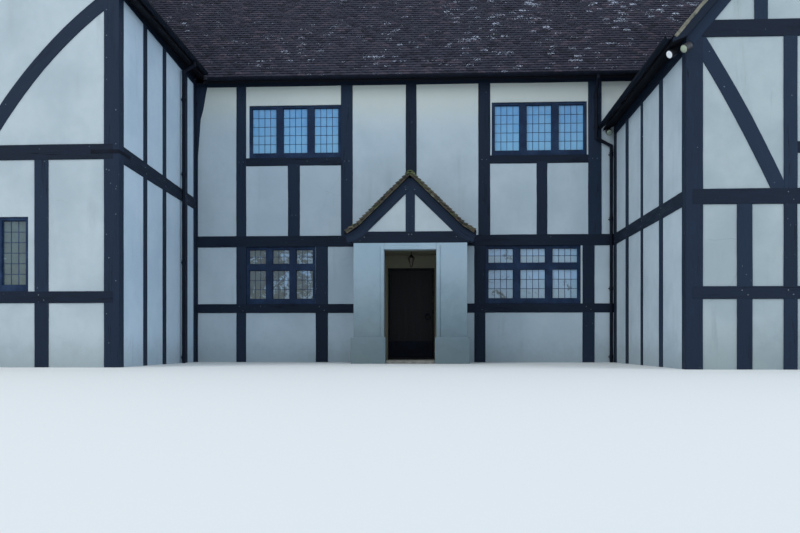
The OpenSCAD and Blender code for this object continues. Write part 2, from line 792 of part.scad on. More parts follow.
module hall_roof_back() color(tile_c) difference() {
    hall_slope(hall_depth, -1);
    along_y(0, hall_depth + gutter_reach) under_tiles(left_x0, left_x1, left_eaves);
}

module right_roof_inner() color(tile_c) difference() {
    right_slope(right_x0, 1);
    under_hall(right_x0 - gutter_reach, right_x1 + gutter_reach);
}

module right_roof_outer() color(tile_c) difference() {
    right_slope(right_x1, -1);
    under_hall(right_x0 - gutter_reach, right_x1 + gutter_reach);
}

// Floors, ground and upper
module floors(x0, x1, y0, y1, upper_top)
    for (z = [[0, ground_floor_z], [upper_top - floor_t, upper_top]])
        translate([x0, y0, z[0]]) cube([x1 - x0, y1 - y0, z[1] - z[0]]);

module left_wing_floors() color(board_c)
    floors(left_x0 + wall_t, left_x1 - wall_t, left_side_y0, left_side_y1, left_rail_top);

module hall_floors() color(board_c)
    floors(left_x1 - wall_t, right_x1 - wall_t, wall_t, hall_depth - wall_t, rail_top);

module right_wing_floors() color(board_c)
    floors(right_x0 + wall_t, right_x1 - wall_t, right_side_y0, wall_t, rail_top);

// Porch: what meets the hall reaches its plaster and is cut round its timbers
module against_hall() difference() {
    children();
    layer("y", 0, -1, 0, timber_d) hall_front_timbers();
}

module both_sides() for (s = [0, 1]) mirror([s, 0, 0]) children();

module block(x0, x1, y0, y1, z0, z1) translate([x0, y0, z0]) cube([x1 - x0, y1 - y0, z1 - z0]);

porch_in = porch_w / 2 - porch_t;
pier_back = porch_t - porch_d;

module porch_piers() color(plaster_c) both_sides() {
    block(arch_w / 2, porch_w / 2, -porch_d, pier_back, 0, porch_tie_z);
    block((arch_w - plinth_out) / 2, porch_w / 2 + plinth_out, -porch_d - plinth_out, pier_back, 0, plinth_h);
    block(arch_w / 2, arch_w / 2 + band_w, -porch_d - band_out, pier_back, 0, arch_h + band_w);
}

module porch_side_walls() color(plaster_c) against_hall() both_sides() {
    block(porch_in, porch_w / 2, pier_back, plaster_back, 0, porch_tie_z);
    block(porch_in, porch_w / 2 + plinth_out, pier_back, plaster_back, 0, plinth_h);
}

module porch_lintel() color(plaster_c) {
    block(-arch_w / 2, arch_w / 2, -porch_d, pier_back, arch_h, porch_tie_z);
    block(-arch_w / 2, arch_w / 2, -porch_d - band_out, pier_back, arch_h, arch_h + band_w);
}

module porch_ceiling() color(plaster_c)
    against_hall() block(-porch_in, porch_in, pier_back, plaster_back, porch_tie_z - ceiling_t, porch_tie_z);

// Upper edge of the porch rafters, and how steep they are above the flare
porch_rise = (porch_apex_z - flare_z) / flare_x;
flare_rise = (flare_z - foot_z) / (foot_x - flare_x);
plate_top = flare_z - (porch_w / 2 - flare_x) * flare_rise;

module porch_side_plates() color(timber_c) against_hall() both_sides()
    along_y(pier_back, plaster_back) polygon([
        [porch_in, porch_tie_z], [porch_w / 2, porch_tie_z], [porch_w / 2, plate_top - plate_bed],
        [flare_x, flare_z - plate_bed], [porch_in, flare_z + (flare_x - porch_in) * porch_rise - plate_bed]
    ]);

module porch_panels() {
    panel_z = porch_tie_z + porch_tie_h;
    panel_top = porch_apex_z - porch_rafter_h - king_half * porch_rise;
    panel_x = king_half + (panel_top - panel_z) / porch_rise;
    for (s = [-1, 1]) polygon([[s * king_half, panel_z], [s * panel_x, panel_z], [s * king_half, panel_top]]);
}

module porch_gable_frame() color(timber_c) along_y(-porch_d, pier_back) difference() {
    polygon([[-foot_x, porch_tie_z], [foot_x, porch_tie_z], [foot_x, foot_z], [flare_x, flare_z],
        [0, porch_apex_z], [-flare_x, flare_z], [-foot_x, foot_z]]);
    porch_panels();
}

module porch_gable_plaster() color(plaster_c) along_y(plaster_back - porch_d, pier_back) porch_panels();

module porch_slope(side) {
    tiles_v = porch_roof_t * norm([1, porch_rise]);
    edge_x = foot_x + porch_eaves;
    edge_z = foot_z - porch_eaves * flare_rise;
    along_y(-porch_d - porch_verge, plaster_back) scale_x(side) polygon([
        [0, porch_apex_z], [flare_x, flare_z], [edge_x, edge_z], [edge_x, edge_z + porch_roof_t],
        [flare_x, flare_z + tiles_v], [0, porch_apex_z + tiles_v]
    ]);
}

module scale_x(side) mirror([side < 0 ? 1 : 0, 0]) children();

module porch_roof_left() color(moss_c) against_hall() porch_slope(-1);
module porch_roof_right() color(moss_c) against_hall() porch_slope(1);

module porch_threshold() color(stone_c)
    both_sides() block(0, (arch_w - plinth_out) / 2, pier_back - porch_t, -door_gap, 0, threshold_h);

module lantern() color(iron_c) translate([0, -porch_d / 2, porch_tie_z - ceiling_t]) {
    translate([0, 0, -lantern_rod]) cylinder(r = lantern_rod_r, h = lantern_rod);
    translate([0, 0, -lantern_rod - lantern_cap])
        cylinder(r1 = lantern_w / 2, r2 = lantern_rod_r, h = lantern_cap, $fn = 6);
    translate([0, 0, -lantern_rod - lantern_h])
        cylinder(r1 = lantern_foot / 2, r2 = lantern_w / 2 - lantern_lip, h = lantern_h - lantern_cap,
            $fn = 6);
}

// Door
module door_frame() color(timber_c) layer("y", 0, -1, 0, door_frame_d) difference() {
    bar(doorway_x0, doorway_x1, 0, doorway_top);
    bar(doorway_x0 + door_jamb, doorway_x1 - door_jamb, ground_floor_z, doorway_top - door_jamb);
}

module front_door() color(iron_c)
    block(leaf_x0, leaf_x1, leaf_back, leaf_back + leaf_t, leaf_z0, leaf_top);

module door_kick_board() color(iron_c)
    block(leaf_x0, leaf_x1, leaf_back - kick_t, leaf_back, leaf_z0, leaf_z0 + kick_h);

module door_ring_handle() color(iron_c)
    translate([leaf_x1 - handle_in, leaf_back, handle_z]) rotate([90, 0, 0]) {
        ring_z = ring_plate[1] + ring_bar;
        cylinder(r = ring_plate[0], h = ring_plate[1]);
        cylinder(r = ring_stem_r, h = ring_z + ring_bar / 2);
        translate([0, -ring_r, ring_z]) rotate_extrude() translate([ring_r, 0]) circle(r = ring_bar / 2);
    }

// Gutters: half rings along the eaves
gutter_c = eaves_out + gutter_r;
hall_gutter_z = hall_eaves + edge_up - gutter_t;
left_gutter_z = left_eaves + edge_up - gutter_t;
right_gutter_z = right_eaves + edge_up - gutter_t;
hall_gutter_x0 = left_x1 + gutter_reach + gutter_t;
hall_gutter_x1 = right_x0 + (hall_gutter_z - gutter_r - right_eaves - roof_v) / rise - gutter_t;

module gutter_section(a, z) translate([a, z]) intersection() {
    difference() {
        circle(r = gutter_r, $fn = 48);
        circle(r = gutter_r - gutter_t, $fn = 48);
    }
    translate([-gutter_r, -gutter_r]) square([2 * gutter_r, gutter_r]);
}

module gutters() color(iron_c) {
    along_x(hall_gutter_x0, hall_gutter_x1) gutter_section(-gutter_c, hall_gutter_z);
    along_x(hall_gutter_x0, right_x1 + verge_out) gutter_section(hall_depth + gutter_c, hall_gutter_z);
    along_y(-left_out - verge_out, -eaves_out) gutter_section(left_x1 + gutter_c, left_gutter_z);
    along_y(-left_out - verge_out, hall_depth + verge_out) gutter_section(left_x0 - gutter_c, left_gutter_z);
    along_y(-right_out - verge_out, 0) gutter_section(right_x0 - gutter_c, right_gutter_z);
    along_y(-right_out - verge_out, 0) gutter_section(right_x1 + gutter_c, right_gutter_z);
}

// A run of pipe through a list of points, with a socket at each bend
module pipe(points) for (i = [0:len(points) - 2]) {
    v = points[i + 1] - points[i];
    translate(points[i]) {
        rotate([0, acos(v[2] / norm(v)), atan2(v[1], v[0])]) cylinder(r = pipe_r, h = norm(v));
        if (i > 0) sphere(r = pipe_r + pipe_socket);
    }
}

module downpipes() color(iron_c) {
    left_outlet = left_gutter_z - gutter_r;
    left_pipe_x = left_x1 + pipe_off;
    pipe([[left_x1 + gutter_c, -left_pipe_y, left_outlet],
        [left_x1 + gutter_c, -left_pipe_y, left_outlet - 2 * pipe_r],
        [left_pipe_x, -left_pipe_y, left_outlet - pipe_swan[0]], [left_pipe_x, -left_pipe_y, 0]]);
    outlet = hall_gutter_z - gutter_r;
    upper_x = right_x0 - right_pipe_x[0];
    lower_x = right_x0 - right_pipe_x[1];
    pipe([[upper_x, -gutter_c, outlet], [upper_x, -gutter_c, outlet - 2 * pipe_r],
        [upper_x, -pipe_off, outlet - pipe_swan[1]], [upper_x, -pipe_off, right_bend_z[0]],
        [lower_x, -pipe_off, right_bend_z[1]], [lower_x, -pipe_off, 0]]);
}

// Flood lamps on short arms, near the right wing's eaves
module flood_lamp(p, turn, swing) translate(p) rotate([0, 0, turn]) {
    rotate([90, 0, 0]) cylinder(r = lamp_r / 5, h = lamp_arm);
    translate([0, -lamp_arm, 0]) rotate([180 - lamp_dip, 0, swing]) cylinder(r = lamp_r, h = lamp_l);
}

module flood_lamps() color(lamp_c) {
    for (l = corner_lamps) flood_lamp([right_x0 + l[0], l[1] - right_out, right_plate_z + l[2]], l[3], l[4]);
    flood_lamp([right_x0 - court_lamp[0], 0, right_plate_z + court_lamp[1]], 0, 0);
}

// Iron strap round the left wing's corner post, on the rails
module corner_strap() color(iron_c) {
    strap_z = left_rail_z + (left_rail_h - strap_h) / 2;
    translate([left_x1, -left_out, strap_z]) {
        block(-strap_l, strap_t, -strap_t, 0, 0, strap_h);
        block(0, strap_t, -strap_t, strap_l, 0, strap_h);
    }
}

module placed() translate([shift_x, shift_y, 0]) children();

placed() hall_front_frame();
placed() hall_front_plaster();
placed() over_door_frame();
placed() over_door_plaster();
placed() hall_eaves_plate();
placed() wall_over_right_wing();
placed() hall_back_frame();
placed() hall_back_plaster();
placed() left_wing_gable_frames();
placed() left_wing_gable_plaster();
placed() left_wing_side_frames();
placed() left_wing_side_plaster();
placed() right_gable_frames();
placed() right_gable_plaster();
placed() right_wing_side_frames();
placed() right_wing_side_plaster();
placed() ground_window_frames();
placed() upper_window_frames();
placed() ground_glass();
placed() upper_glass();
placed() left_roof_outer();
placed() left_roof_inner();
placed() hall_roof_front();
placed() hall_roof_back();
placed() right_roof_inner();
placed() right_roof_outer();
placed() left_wing_floors();
placed() hall_floors();
placed() right_wing_floors();
placed() porch_piers();
placed() porch_side_walls();
placed() porch_lintel();
placed() porch_ceiling();
placed() porch_side_plates();
placed() porch_gable_frame();
placed() porch_gable_plaster();
placed() porch_roof_left();
placed() porch_roof_right();
placed() porch_threshold();
placed() lantern();
placed() door_frame();
placed() front_door();
placed() door_kick_board();
placed() door_ring_handle();
placed() gutters();
placed() downpipes();
placed() flood_lamps();
placed() corner_strap();
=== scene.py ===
"""Half timbered house: oak frames, limewashed panels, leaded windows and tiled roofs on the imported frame.

Plan values are metres from the porch's middle (x) and the hall's front face (y). ORIGIN takes them to
the frame.
"""
import math
import random

import bmesh
import bpy
from mathutils import Matrix, Vector, noise


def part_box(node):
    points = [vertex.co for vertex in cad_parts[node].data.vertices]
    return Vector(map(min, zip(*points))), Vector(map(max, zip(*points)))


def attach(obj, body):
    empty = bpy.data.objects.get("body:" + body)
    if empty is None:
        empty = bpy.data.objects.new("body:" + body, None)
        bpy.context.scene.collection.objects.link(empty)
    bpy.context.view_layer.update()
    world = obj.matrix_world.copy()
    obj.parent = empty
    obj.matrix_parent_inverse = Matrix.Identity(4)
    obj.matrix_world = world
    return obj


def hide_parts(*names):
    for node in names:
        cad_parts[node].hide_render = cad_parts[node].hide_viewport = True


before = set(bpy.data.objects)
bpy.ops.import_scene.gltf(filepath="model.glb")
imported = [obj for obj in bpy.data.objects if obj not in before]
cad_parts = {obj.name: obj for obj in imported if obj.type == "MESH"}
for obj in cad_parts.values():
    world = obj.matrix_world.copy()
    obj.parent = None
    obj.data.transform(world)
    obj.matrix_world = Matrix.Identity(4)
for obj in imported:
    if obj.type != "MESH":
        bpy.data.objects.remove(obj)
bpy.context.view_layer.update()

# Places read from the frame
porch_low, porch_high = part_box("porch_lintel")
ORIGIN = Vector(((porch_low.x + porch_high.x) / 2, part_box("hall_front_frame")[0].y, 0))


def plan_box(node):
    """A node's lowest and highest corners in plan values."""
    low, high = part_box(node)
    return low - ORIGIN, high - ORIGIN


left_low, left_high = plan_box("left_wing_gable_frames")
right_low, right_high = plan_box("right_gable_frames")
LEFT_X0, LEFT_X1, LEFT_Y0 = left_low.x, left_high.x, left_low.y
RIGHT_X0, RIGHT_X1, RIGHT_Y0 = right_low.x, right_high.x, right_low.y
HALL_DEPTH = left_high.y
LEFT_MID, RIGHT_MID, END_MID = (LEFT_X0 + LEFT_X1) / 2, (RIGHT_X0 + RIGHT_X1) / 2, HALL_DEPTH / 2
HALL_PLATE = plan_box("hall_eaves_plate")[0].z
RIGHT_PLATE = plan_box("wall_over_right_wing")[0].z

# Roof pitch, wall thickness, and heights of eaves, rails and ties
PITCH = math.radians(50)
RISE = math.tan(PITCH)
WALL_T = 0.2
TIMBER_D = 0.15
HALL_EAVES = HALL_PLATE + 0.1
LEFT_EAVES = plan_box("left_wing_side_frames")[1].z - TIMBER_D * RISE
LEFT_PLATE = LEFT_EAVES - 0.06
RIGHT_EAVES = RIGHT_PLATE + 0.2
RAIL = (2.55, 2.785)
LEFT_RAIL = (3.51, 3.76)
LOW_RAIL = (1.09, 1.28)
SILL_RAIL = (4.345, 4.515)
SILL_H = SILL_RAIL[1] - SILL_RAIL[0]
TIE_UP, TIE_H = 0.206, 0.256
HALL_TIE, LEFT_TIE, RIGHT_TIE = [
    (plate + TIE_UP, plate + TIE_UP + TIE_H) for plate in (HALL_PLATE, LEFT_PLATE, RIGHT_PLATE)]

# Widths of timbers, and the bays of the walls that repeat plainly
CORNER_W = 0.255
PLAIN_W = 0.23
PLAIN_BAY = 1.45
RAFTER_W = 0.16

# Roof slabs and gutters
ROOF_T = 0.18
EAVES_OUT = 0.23
VERGE_OUT = 0.1
GUTTER_R = 0.057
ROOF_UP = ROOF_T / math.cos(PITCH)
EDGE_UP = ROOF_UP - EAVES_OUT * RISE

# Porch
PORCH_HALF, PORCH_DEEP, PORCH_T = 1.149, 1.35, 0.2
PORCH_IN = PORCH_HALF - PORCH_T
PORCH_TIE = (2.443, 2.674)
PORCH_APEX = 3.8
FLARE_X, FLARE_Z = 1.098, 2.728
FOOT_X, FOOT_Z = 1.3, 2.63
PORCH_RISE = (PORCH_APEX - FLARE_Z) / FLARE_X
KING_W, PORCH_RAFTER = 0.18, 0.275
RAIL_STOP = 0.03

# Windows: their heights, joinery and leaded lights
PLAIN_WIN = 1.1
GROUND_WIN = (LOW_RAIL[1], RAIL[0])
UPPER_WIN = (4.515, 5.68)
RIGHT_UPPER_WIN = (3.5, 4.65)
WIN_SIDE, WIN_MULLION, WIN_HEAD, WIN_SILL = 0.06, 0.143, 0.056, 0.112
WIN_BACK, WIN_D = 0.045, 0.06
TRANSOM = (2.0355, 2.1705)
CASEMENT, CASEMENT_D, CASEMENT_LAP = 0.012, 0.034, 0.004
QUARRY_W, QUARRY_H, CAME_HALF, CAME_STRAY = 0.138, 0.19, 0.005, 0.002

# How far in front of the joinery's back lie the panes, both kinds of cames, and the cames' own backs
PANE_FORE, UPRIGHT_FORE, LEVEL_FORE, CAME_BACK = 0.012, 0.0175, 0.0165, 0.008


class Wire:
    """A node's output that Python's operators join to Math nodes."""

    def __init__(self, nodes, socket):
        self.nodes, self.socket = nodes, socket

    def math(self, operation, first, second=0.0):
        return self.nodes.node("ShaderNodeMath", {"operation": operation}, {0: first, 1: second})

    def __add__(self, other):
        return self.math("ADD", self, other)

    __radd__ = __add__

    def __sub__(self, other):
        return self.math("SUBTRACT", self, other)

    def __rsub__(self, other):
        return self.math("SUBTRACT", other, self)

    def __mul__(self, other):
        return self.math("MULTIPLY", self, other)

    __rmul__ = __mul__

    def __truediv__(self, other):
        return self.math("DIVIDE", self, other)

    def __lt__(self, other):
        return self.math("LESS_THAN", self, other)

    def __gt__(self, other):
        return self.math("GREATER_THAN", self, other)

    def __mod__(self, other):
        return self.math("FLOORED_MODULO", self, other)

    def __abs__(self):
        return self.math("ABSOLUTE", self)


class Nodes:
    """Adds nodes to a tree: a node's type, its settings, and the values or links of its sockets."""

    def __init__(self, tree):
        self.tree = tree

    def node(self, kind, settings=None, inputs=None, output=0):
        """One new node, given as the wire of its output."""
        made = self.tree.nodes.new(kind)
        for key, value in (settings or {}).items():
            if key == "stops":
                self.set_stops(made.color_ramp, value)
            else:
                setattr(made, key, value)
        for key, value in (inputs or {}).items():
            self.join(value, made.inputs[key])
        return Wire(self, made.outputs[output]) if len(made.outputs) else made

    def join(self, value, socket):
        """Links a wire to a socket, or gives the socket a value of its own."""
        if isinstance(value, Wire):
            self.tree.links.new(value.socket, socket)
        else:
            socket.default_value = value

    @staticmethod
    def set_stops(ramp, stops):
        while len(ramp.elements) < len(stops):
            ramp.elements.new(1)
        for element, (place, colour) in zip(ramp.elements, stops):
            element.position, element.color = place, colour

    def xyz(self, x, y, z):
        return self.node("ShaderNodeCombineXYZ", None, {0: x, 1: y, 2: z})

    def part(self, vector, index):
        return self.node("ShaderNodeSeparateXYZ", None, {0: vector}, index)

    def scaled(self, vector, factors):
        return self.node("ShaderNodeVectorMath", {"operation": "MULTIPLY"}, {0: vector, 1: factors})

    def shifted(self, vector, offset):
        return self.node("ShaderNodeVectorMath", {"operation": "ADD"}, {0: vector, 1: offset})

    def noise(self, vector, scale, detail=3.0, roughness=0.55, distortion=0.0):
        sockets = {"Vector": vector, "Scale": scale, "Detail": detail, "Roughness": roughness,
                   "Distortion": distortion}
        return self.node("ShaderNodeTexNoise", None, sockets)

    def streaks(self, vector, factors, detail=3.0, roughness=0.55, distortion=0.0):
        """Noise drawn out along some directions."""
        return self.noise(self.scaled(vector, factors), 1.0, detail, roughness, distortion)

    def between(self, value, low, high, out_low=0.0, out_high=1.0):
        """A smooth step from one output to another as the value goes from low to high."""
        sockets = {0: value, 1: low, 2: high, 3: out_low, 4: out_high}
        return self.node("ShaderNodeMapRange", {"interpolation_type": "SMOOTHSTEP"}, sockets)


def srgb(red, green, blue):
    """A colour given as 0 to 255 on screen, in the linear values that nodes use."""
    def linear(level):
        share = level / 255
        return share / 12.92 if share <= 0.04045 else ((share + 0.055) / 1.055) ** 2.4
    return linear(red), linear(green), linear(blue), 1.0


def paint(colour):
    """A colour written as 0 to 255 on screen becomes a socket's value, and a link stays as it is."""
    return srgb(*colour) if isinstance(colour, tuple) else colour


class Finish(Nodes):
    """A procedural material round one Principled shader."""

    def __init__(self, name, **constants):
        self.material = bpy.data.materials.new(name)
        self.material.use_nodes = True
        super().__init__(self.material.node_tree)
        self.shader = self.tree.nodes["Principled BSDF"]
        for key, value in constants.items():
            label = key.replace("_", " ").title().replace("Ior", "IOR")
            self.shader.inputs[label].default_value = value

    def place(self):
        return self.node("ShaderNodeTexCoord", None, None, "Object")

    def along(self):
        """The grain map: metres along a timber, then round it."""
        return self.node("ShaderNodeTexCoord", None, None, "UV")

    def tone(self, name="tone"):
        return self.node("ShaderNodeAttribute", {"attribute_name": name}, None, "Fac")

    def mix(self, amount, first, second):
        sockets = {0: amount, 6: paint(first), 7: paint(second)}
        return self.node("ShaderNodeMix", {"data_type": "RGBA"}, sockets, 2)

    def over(self, first, second, value, low, high, most=1.0):
        """Lays a second colour over the first where the value goes from low to high."""
        return self.mix(self.between(value, low, high, 0.0, most), first, second)

    def ramp(self, value, colours):
        """Colours at even steps of a value from 0 to 1."""
        stops = [(index / (len(colours) - 1), paint(colour)) for index, colour in enumerate(colours)]
        return self.node("ShaderNodeValToRGB", {"stops": stops}, {0: value})

    def colour(self, value):
        self.join(paint(value), self.shader.inputs["Base Color"])

    def rough(self, value, low, high, least, most):
        self.join(self.between(value, low, high, least, most), self.shader.inputs["Roughness"])

    def bump(self, *layers):
        """Layers of height and how deep each is, in metres, from the coarsest to the finest."""
        normal = None
        for height, deep in layers:
            sockets = {"Strength": 1.0, "Distance": deep, "Height": height}
            if normal is not None:
                sockets["Normal"] = normal
            normal = self.node("ShaderNodeBump", None, sockets)
        self.join(normal, self.shader.inputs["Normal"])


# Finishes
TAR, LIME_FLECK, HAIR_CRACK, DAMP = (7, 9, 13), (136, 150, 164), (96, 102, 104), (112, 122, 120)
# Painted warm light under the eaves, and two tones of painted shade inside the porch
PAINTED_EAVES_LIGHT, PORCH_SHADE, PALE_PORCH_SHADE = (208, 213, 202), (124, 121, 104), (136, 133, 116)
# Painted shadow under the tiles' tails, and the dark green of the glass's painted tree reflection
LAP_SHADOW, DARK_TREE_REFLECTION = (9, 10, 14), (24, 34, 36)
BOARD_JOINT, PIT_DIRT, STONE_MOSS = (12, 11, 11), (88, 86, 78), (92, 98, 62)
# Box of painted shade inside the porch: half its width, its front, its back and its top
PORCH_SHADE_HALF, PORCH_SHADE_FRONT, PORCH_SHADE_BACK, PORCH_SHADE_TOP = 1.0, porch_low.y + 0.25, ORIGIN.y + 0.1, 2.42
# Where along each tile the painted shadow under the next course begins and is full
LAP_SHADOW_FROM, LAP_SHADOW_TO = 0.072, 0.1


def old_oak(name, body, worn, undertone):
    """Blackened oak: fibres and shakes along the grain, tar thinned on high spots, flecks of limewash."""
    f = Finish(name, specular_ior_level=0.1)
    grain = f.along()
    fibre = f.streaks(grain, (3.0, 95.0, 1.0), 5.0, 0.62, 0.3)
    shake = abs(f.streaks(grain, (0.55, 17.0, 1.0), 3.0, 0.5, 0.2) - 0.5)
    drift = f.noise(f.scaled(grain, (0.7, 5.0, 1.0)), 1.3, 2.0)
    crack = f.between(shake, 0.0, 0.018, 1.0, 0.0) * f.between(drift, 0.5, 0.64)
    patch = f.streaks(grain, (1.6, 7.0, 1.0), 4.0, 0.6)
    speck = f.streaks(grain, (22.0, 30.0, 1.0), 1.0, 0.5)
    colour = f.over(body, undertone, patch, 0.42, 0.72, 0.75)
    colour = f.over(colour, worn, fibre, 0.52, 0.8, 0.4)
    colour = f.mix(f.tone() * 0.5, colour, worn)
    colour = f.mix(crack * 0.7, colour, TAR)
    f.colour(f.over(colour, LIME_FLECK, speck, 0.77, 0.8, 0.7))
    f.rough(patch, 0.3, 0.75, 0.52, 0.74)
    f.bump((patch, 0.004), (fibre - crack * 1.6, 0.0022))
    return f.material


def limewash(name, fresh, aged, stain, damp_top, damp=0.45, streaky=0.4, eaves=None):
    """Limewashed render: trowel waves, streaks, hair cracks, damp below, painted warm light under the eaves,
    and painted shade inside the porch.
    """
    f = Finish(name, specular_ior_level=0.2)
    place = f.place()
    height = f.part(place, 2)
    clouds = f.noise(place, 0.8, 4.0, 0.55)
    mottle = f.noise(place, 5.5, 5.0, 0.6)
    colour = f.over(fresh, aged, clouds, 0.36, 0.66)
    colour = f.over(colour, aged, mottle, 0.4, 0.75, 0.3)
    runs = f.streaks(place, (4.0, 4.0, 0.4), 5.0, 0.62)
    runs = f.between(runs, 0.52, 0.74) * f.between(f.noise(place, 0.6, 2.0), 0.48, 0.66)
    colour = f.mix(runs * streaky, colour, stain)
    # Painted warm light under the eaves, blended in over the 1.1 m below the given height
    if eaves:
        colour = f.over(colour, PAINTED_EAVES_LIGHT, height + (mottle - 0.5) * 0.4, eaves - 1.1, eaves, 0.75)
    swirl = f.node("ShaderNodeTexNoise", None, {"Vector": place, "Scale": 3.0}, 1)
    bent = f.shifted(place, f.scaled(swirl, (0.22, 0.22, 0.22)))
    edges = f.node("ShaderNodeTexVoronoi", {"feature": "DISTANCE_TO_EDGE"}, {"Vector": bent, "Scale": 0.9})
    hair = f.between(edges, 0.0, 0.003, 1.0, 0.0) * f.between(f.noise(place, 0.8, 1.0), 0.6, 0.66)
    colour = f.mix(hair * 0.3, colour, HAIR_CRACK)
    wet = f.between(height + (mottle - 0.5) * 0.7, 0.0, damp_top, 1.0, 0.0)
    colour = f.mix(wet * damp, colour, f.mix(clouds, DAMP, stain))
    # Painted shade inside the porch, in a box under its roof
    deep = f.part(place, 1)
    in_porch_shade = (abs(f.part(place, 0) - ORIGIN.x) < PORCH_SHADE_HALF) * (deep > PORCH_SHADE_FRONT) * (deep < PORCH_SHADE_BACK)
    f.colour(f.mix(in_porch_shade * (height < PORCH_SHADE_TOP), colour, f.mix(mottle, PORCH_SHADE, PALE_PORCH_SHADE)))
    f.rough(mottle, 0.3, 0.7, 0.82, 0.94)
    waves = f.noise(place, 1.7, 2.0, 0.5)
    brush = f.streaks(place, (70.0, 70.0, 18.0), 3.0, 0.6)
    f.bump((waves, 0.016), (mottle, 0.003), (brush - hair * 1.5, 0.0009))
    return f.material


def clay_tile(name, tones, lichen, moss, mossy):
    """Weathered clay: each tile burnt its own tone, painted shadow with some dirt under the next course, and
    lichen and moss.
    """
    f = Finish(name, specular_ior_level=0.25)
    place = f.place()
    tone = f.tone()
    grit = f.noise(place, 30.0, 4.0, 0.65)
    weather = f.noise(place, 1.1, 3.0, 0.6)
    growth = f.noise(place, 7.0, 5.0, 0.7)
    colour = f.over(f.ramp(tone, tones), tones[0], grit, 0.4, 0.7, 0.6)
    colour = f.over(colour, tones[1], weather, 0.4, 0.7, 0.4)
    green = f.between(growth + (weather - 0.5) * 0.4, 0.62 - mossy, 0.72 - mossy)
    colour = f.mix(green * 0.75, colour, moss)
    flat = f.shifted(f.scaled(place, (0.8, 0.8, 3.0)), f.xyz(tone * 7.0, tone * 3.0, 0.0))
    spots = f.noise(flat, 32.0, 2.0, 0.5)
    patchy = f.noise(place, 0.6, 2.0, 0.6) * 0.3 + f.noise(place, 2.3, 2.0, 0.5) * 0.25
    held = (tone * 41.0) % 1.0
    sunny_end = f.between(f.part(place, 0), -4.0, 4.0, -0.13, -0.03)
    crust = f.between(held + patchy * 2.0 + spots * 1.7 + sunny_end, 2.48, 2.52)
    colour = f.mix(crust * 0.92, colour, lichen)
    # Painted shadow, with some dirt, where the next course laps over
    f.colour(f.over(colour, LAP_SHADOW, f.tone("rise"), LAP_SHADOW_FROM, LAP_SHADOW_TO, 0.75))
    f.rough(grit, 0.3, 0.7, 0.78, 0.93)
    f.bump((growth, 0.004), (grit + crust * 0.4, 0.0018))
    return f.material


def window_glass(name, low, high, murky, tree_reflection=None):
    """Old hand-made panes with a painted reflection of the sky and, on the ground storey, a painted reflection
    of dark trees in ragged patches.
    """
    f = Finish(name, specular_ior_level=0.5, coat_weight=0.3, coat_roughness=0.05)
    tone = f.tone()
    ripple = f.noise(f.shifted(f.place(), f.xyz(tone * 9.0, 0.0, tone * 5.0)), 6.0, 2.0, 0.5)
    # The pane's tone rises with its row, so low and high paint the sky's reflection from the foot of each
    # light to its head
    colour = f.over(f.mix(tone, low, high), murky, ripple, 0.35, 0.7, 0.25)
    if tree_reflection:
        # Painted reflection of dark trees in ragged patches, stronger towards the left
        tree_reflection_mask = f.noise(f.place(), 3.4, 6.0, 0.72, 0.4) - f.part(f.place(), 0) * 0.035
        colour = f.over(colour, f.mix(ripple, tree_reflection, DARK_TREE_REFLECTION), tree_reflection_mask, 0.47, 0.58, 0.85)
    f.colour(colour)
    f.rough(ripple, 0.3, 0.7, 0.06, 0.14)
    f.bump((ripple, 0.003))
    return f.material


def soft_metal(name, dull, bright, metallic, low, high, shine=0.5):
    """Cast or rolled metal, or hard paint, with a handled surface."""
    f = Finish(name, metallic=metallic, specular_ior_level=shine)
    place = f.place()
    cast = f.noise(place, 55.0, 4.0, 0.6)
    clouds = f.noise(place, 6.0, 3.0, 0.6)
    f.colour(f.over(dull, bright, clouds, 0.35, 0.7))
    f.rough(clouds, 0.3, 0.7, low, high)
    f.bump((clouds, 0.001), (cast, 0.0006))
    return f.material


def painted_joinery(name, body, chalky, brushed):
    """Dark gloss paint over window oak, brushed along the wood and chalked a little by weather."""
    f = Finish(name, specular_ior_level=0.08)
    place = f.place()
    brush = f.streaks(place, (40.0, 40.0, 6.0), 4.0, 0.6)
    chalk = f.noise(place, 3.0, 4.0, 0.6)
    f.colour(f.over(f.over(body, chalky, chalk, 0.4, 0.7), brushed, brush, 0.55, 0.8, 0.35))
    f.rough(chalk, 0.35, 0.7, 0.34, 0.52)
    f.bump((brush, 0.0008))
    return f.material


def plank_wood(name, dark, light, lengthwise, board, gloss, joint_deep, shine=0.5):
    """Boards on Object coordinates: joints every board's width, grain along the given direction."""
    f = Finish(name, specular_ior_level=shine)
    place = f.place()
    across = f.part(place, 1 - lengthwise if lengthwise < 2 else 0)
    row = f.node("ShaderNodeMath", {"operation": "FLOOR"}, {0: across / board})
    own = f.node("ShaderNodeTexWhiteNoise", {"noise_dimensions": "1D"}, {"W": row})
    stretch = [1.6 if index == lengthwise else 34.0 for index in range(3)]
    shifted = f.shifted(f.scaled(place, stretch), f.xyz(own * 31.0, own * 17.0, own * 9.0))
    grain = f.noise(shifted, 1.0, 5.0, 0.6)
    colour = f.mix(own * 0.35, f.over(dark, light, grain, 0.3, 0.72), dark)
    joint = f.between(abs((across / board) % 1.0 - 0.5), 0.475, 0.495)
    f.colour(f.mix(joint * 0.85, colour, BOARD_JOINT))
    f.rough(grain, 0.3, 0.7, gloss, gloss + 0.2)
    f.bump((joint * -1.0, joint_deep), (grain, 0.0012))
    return f.material


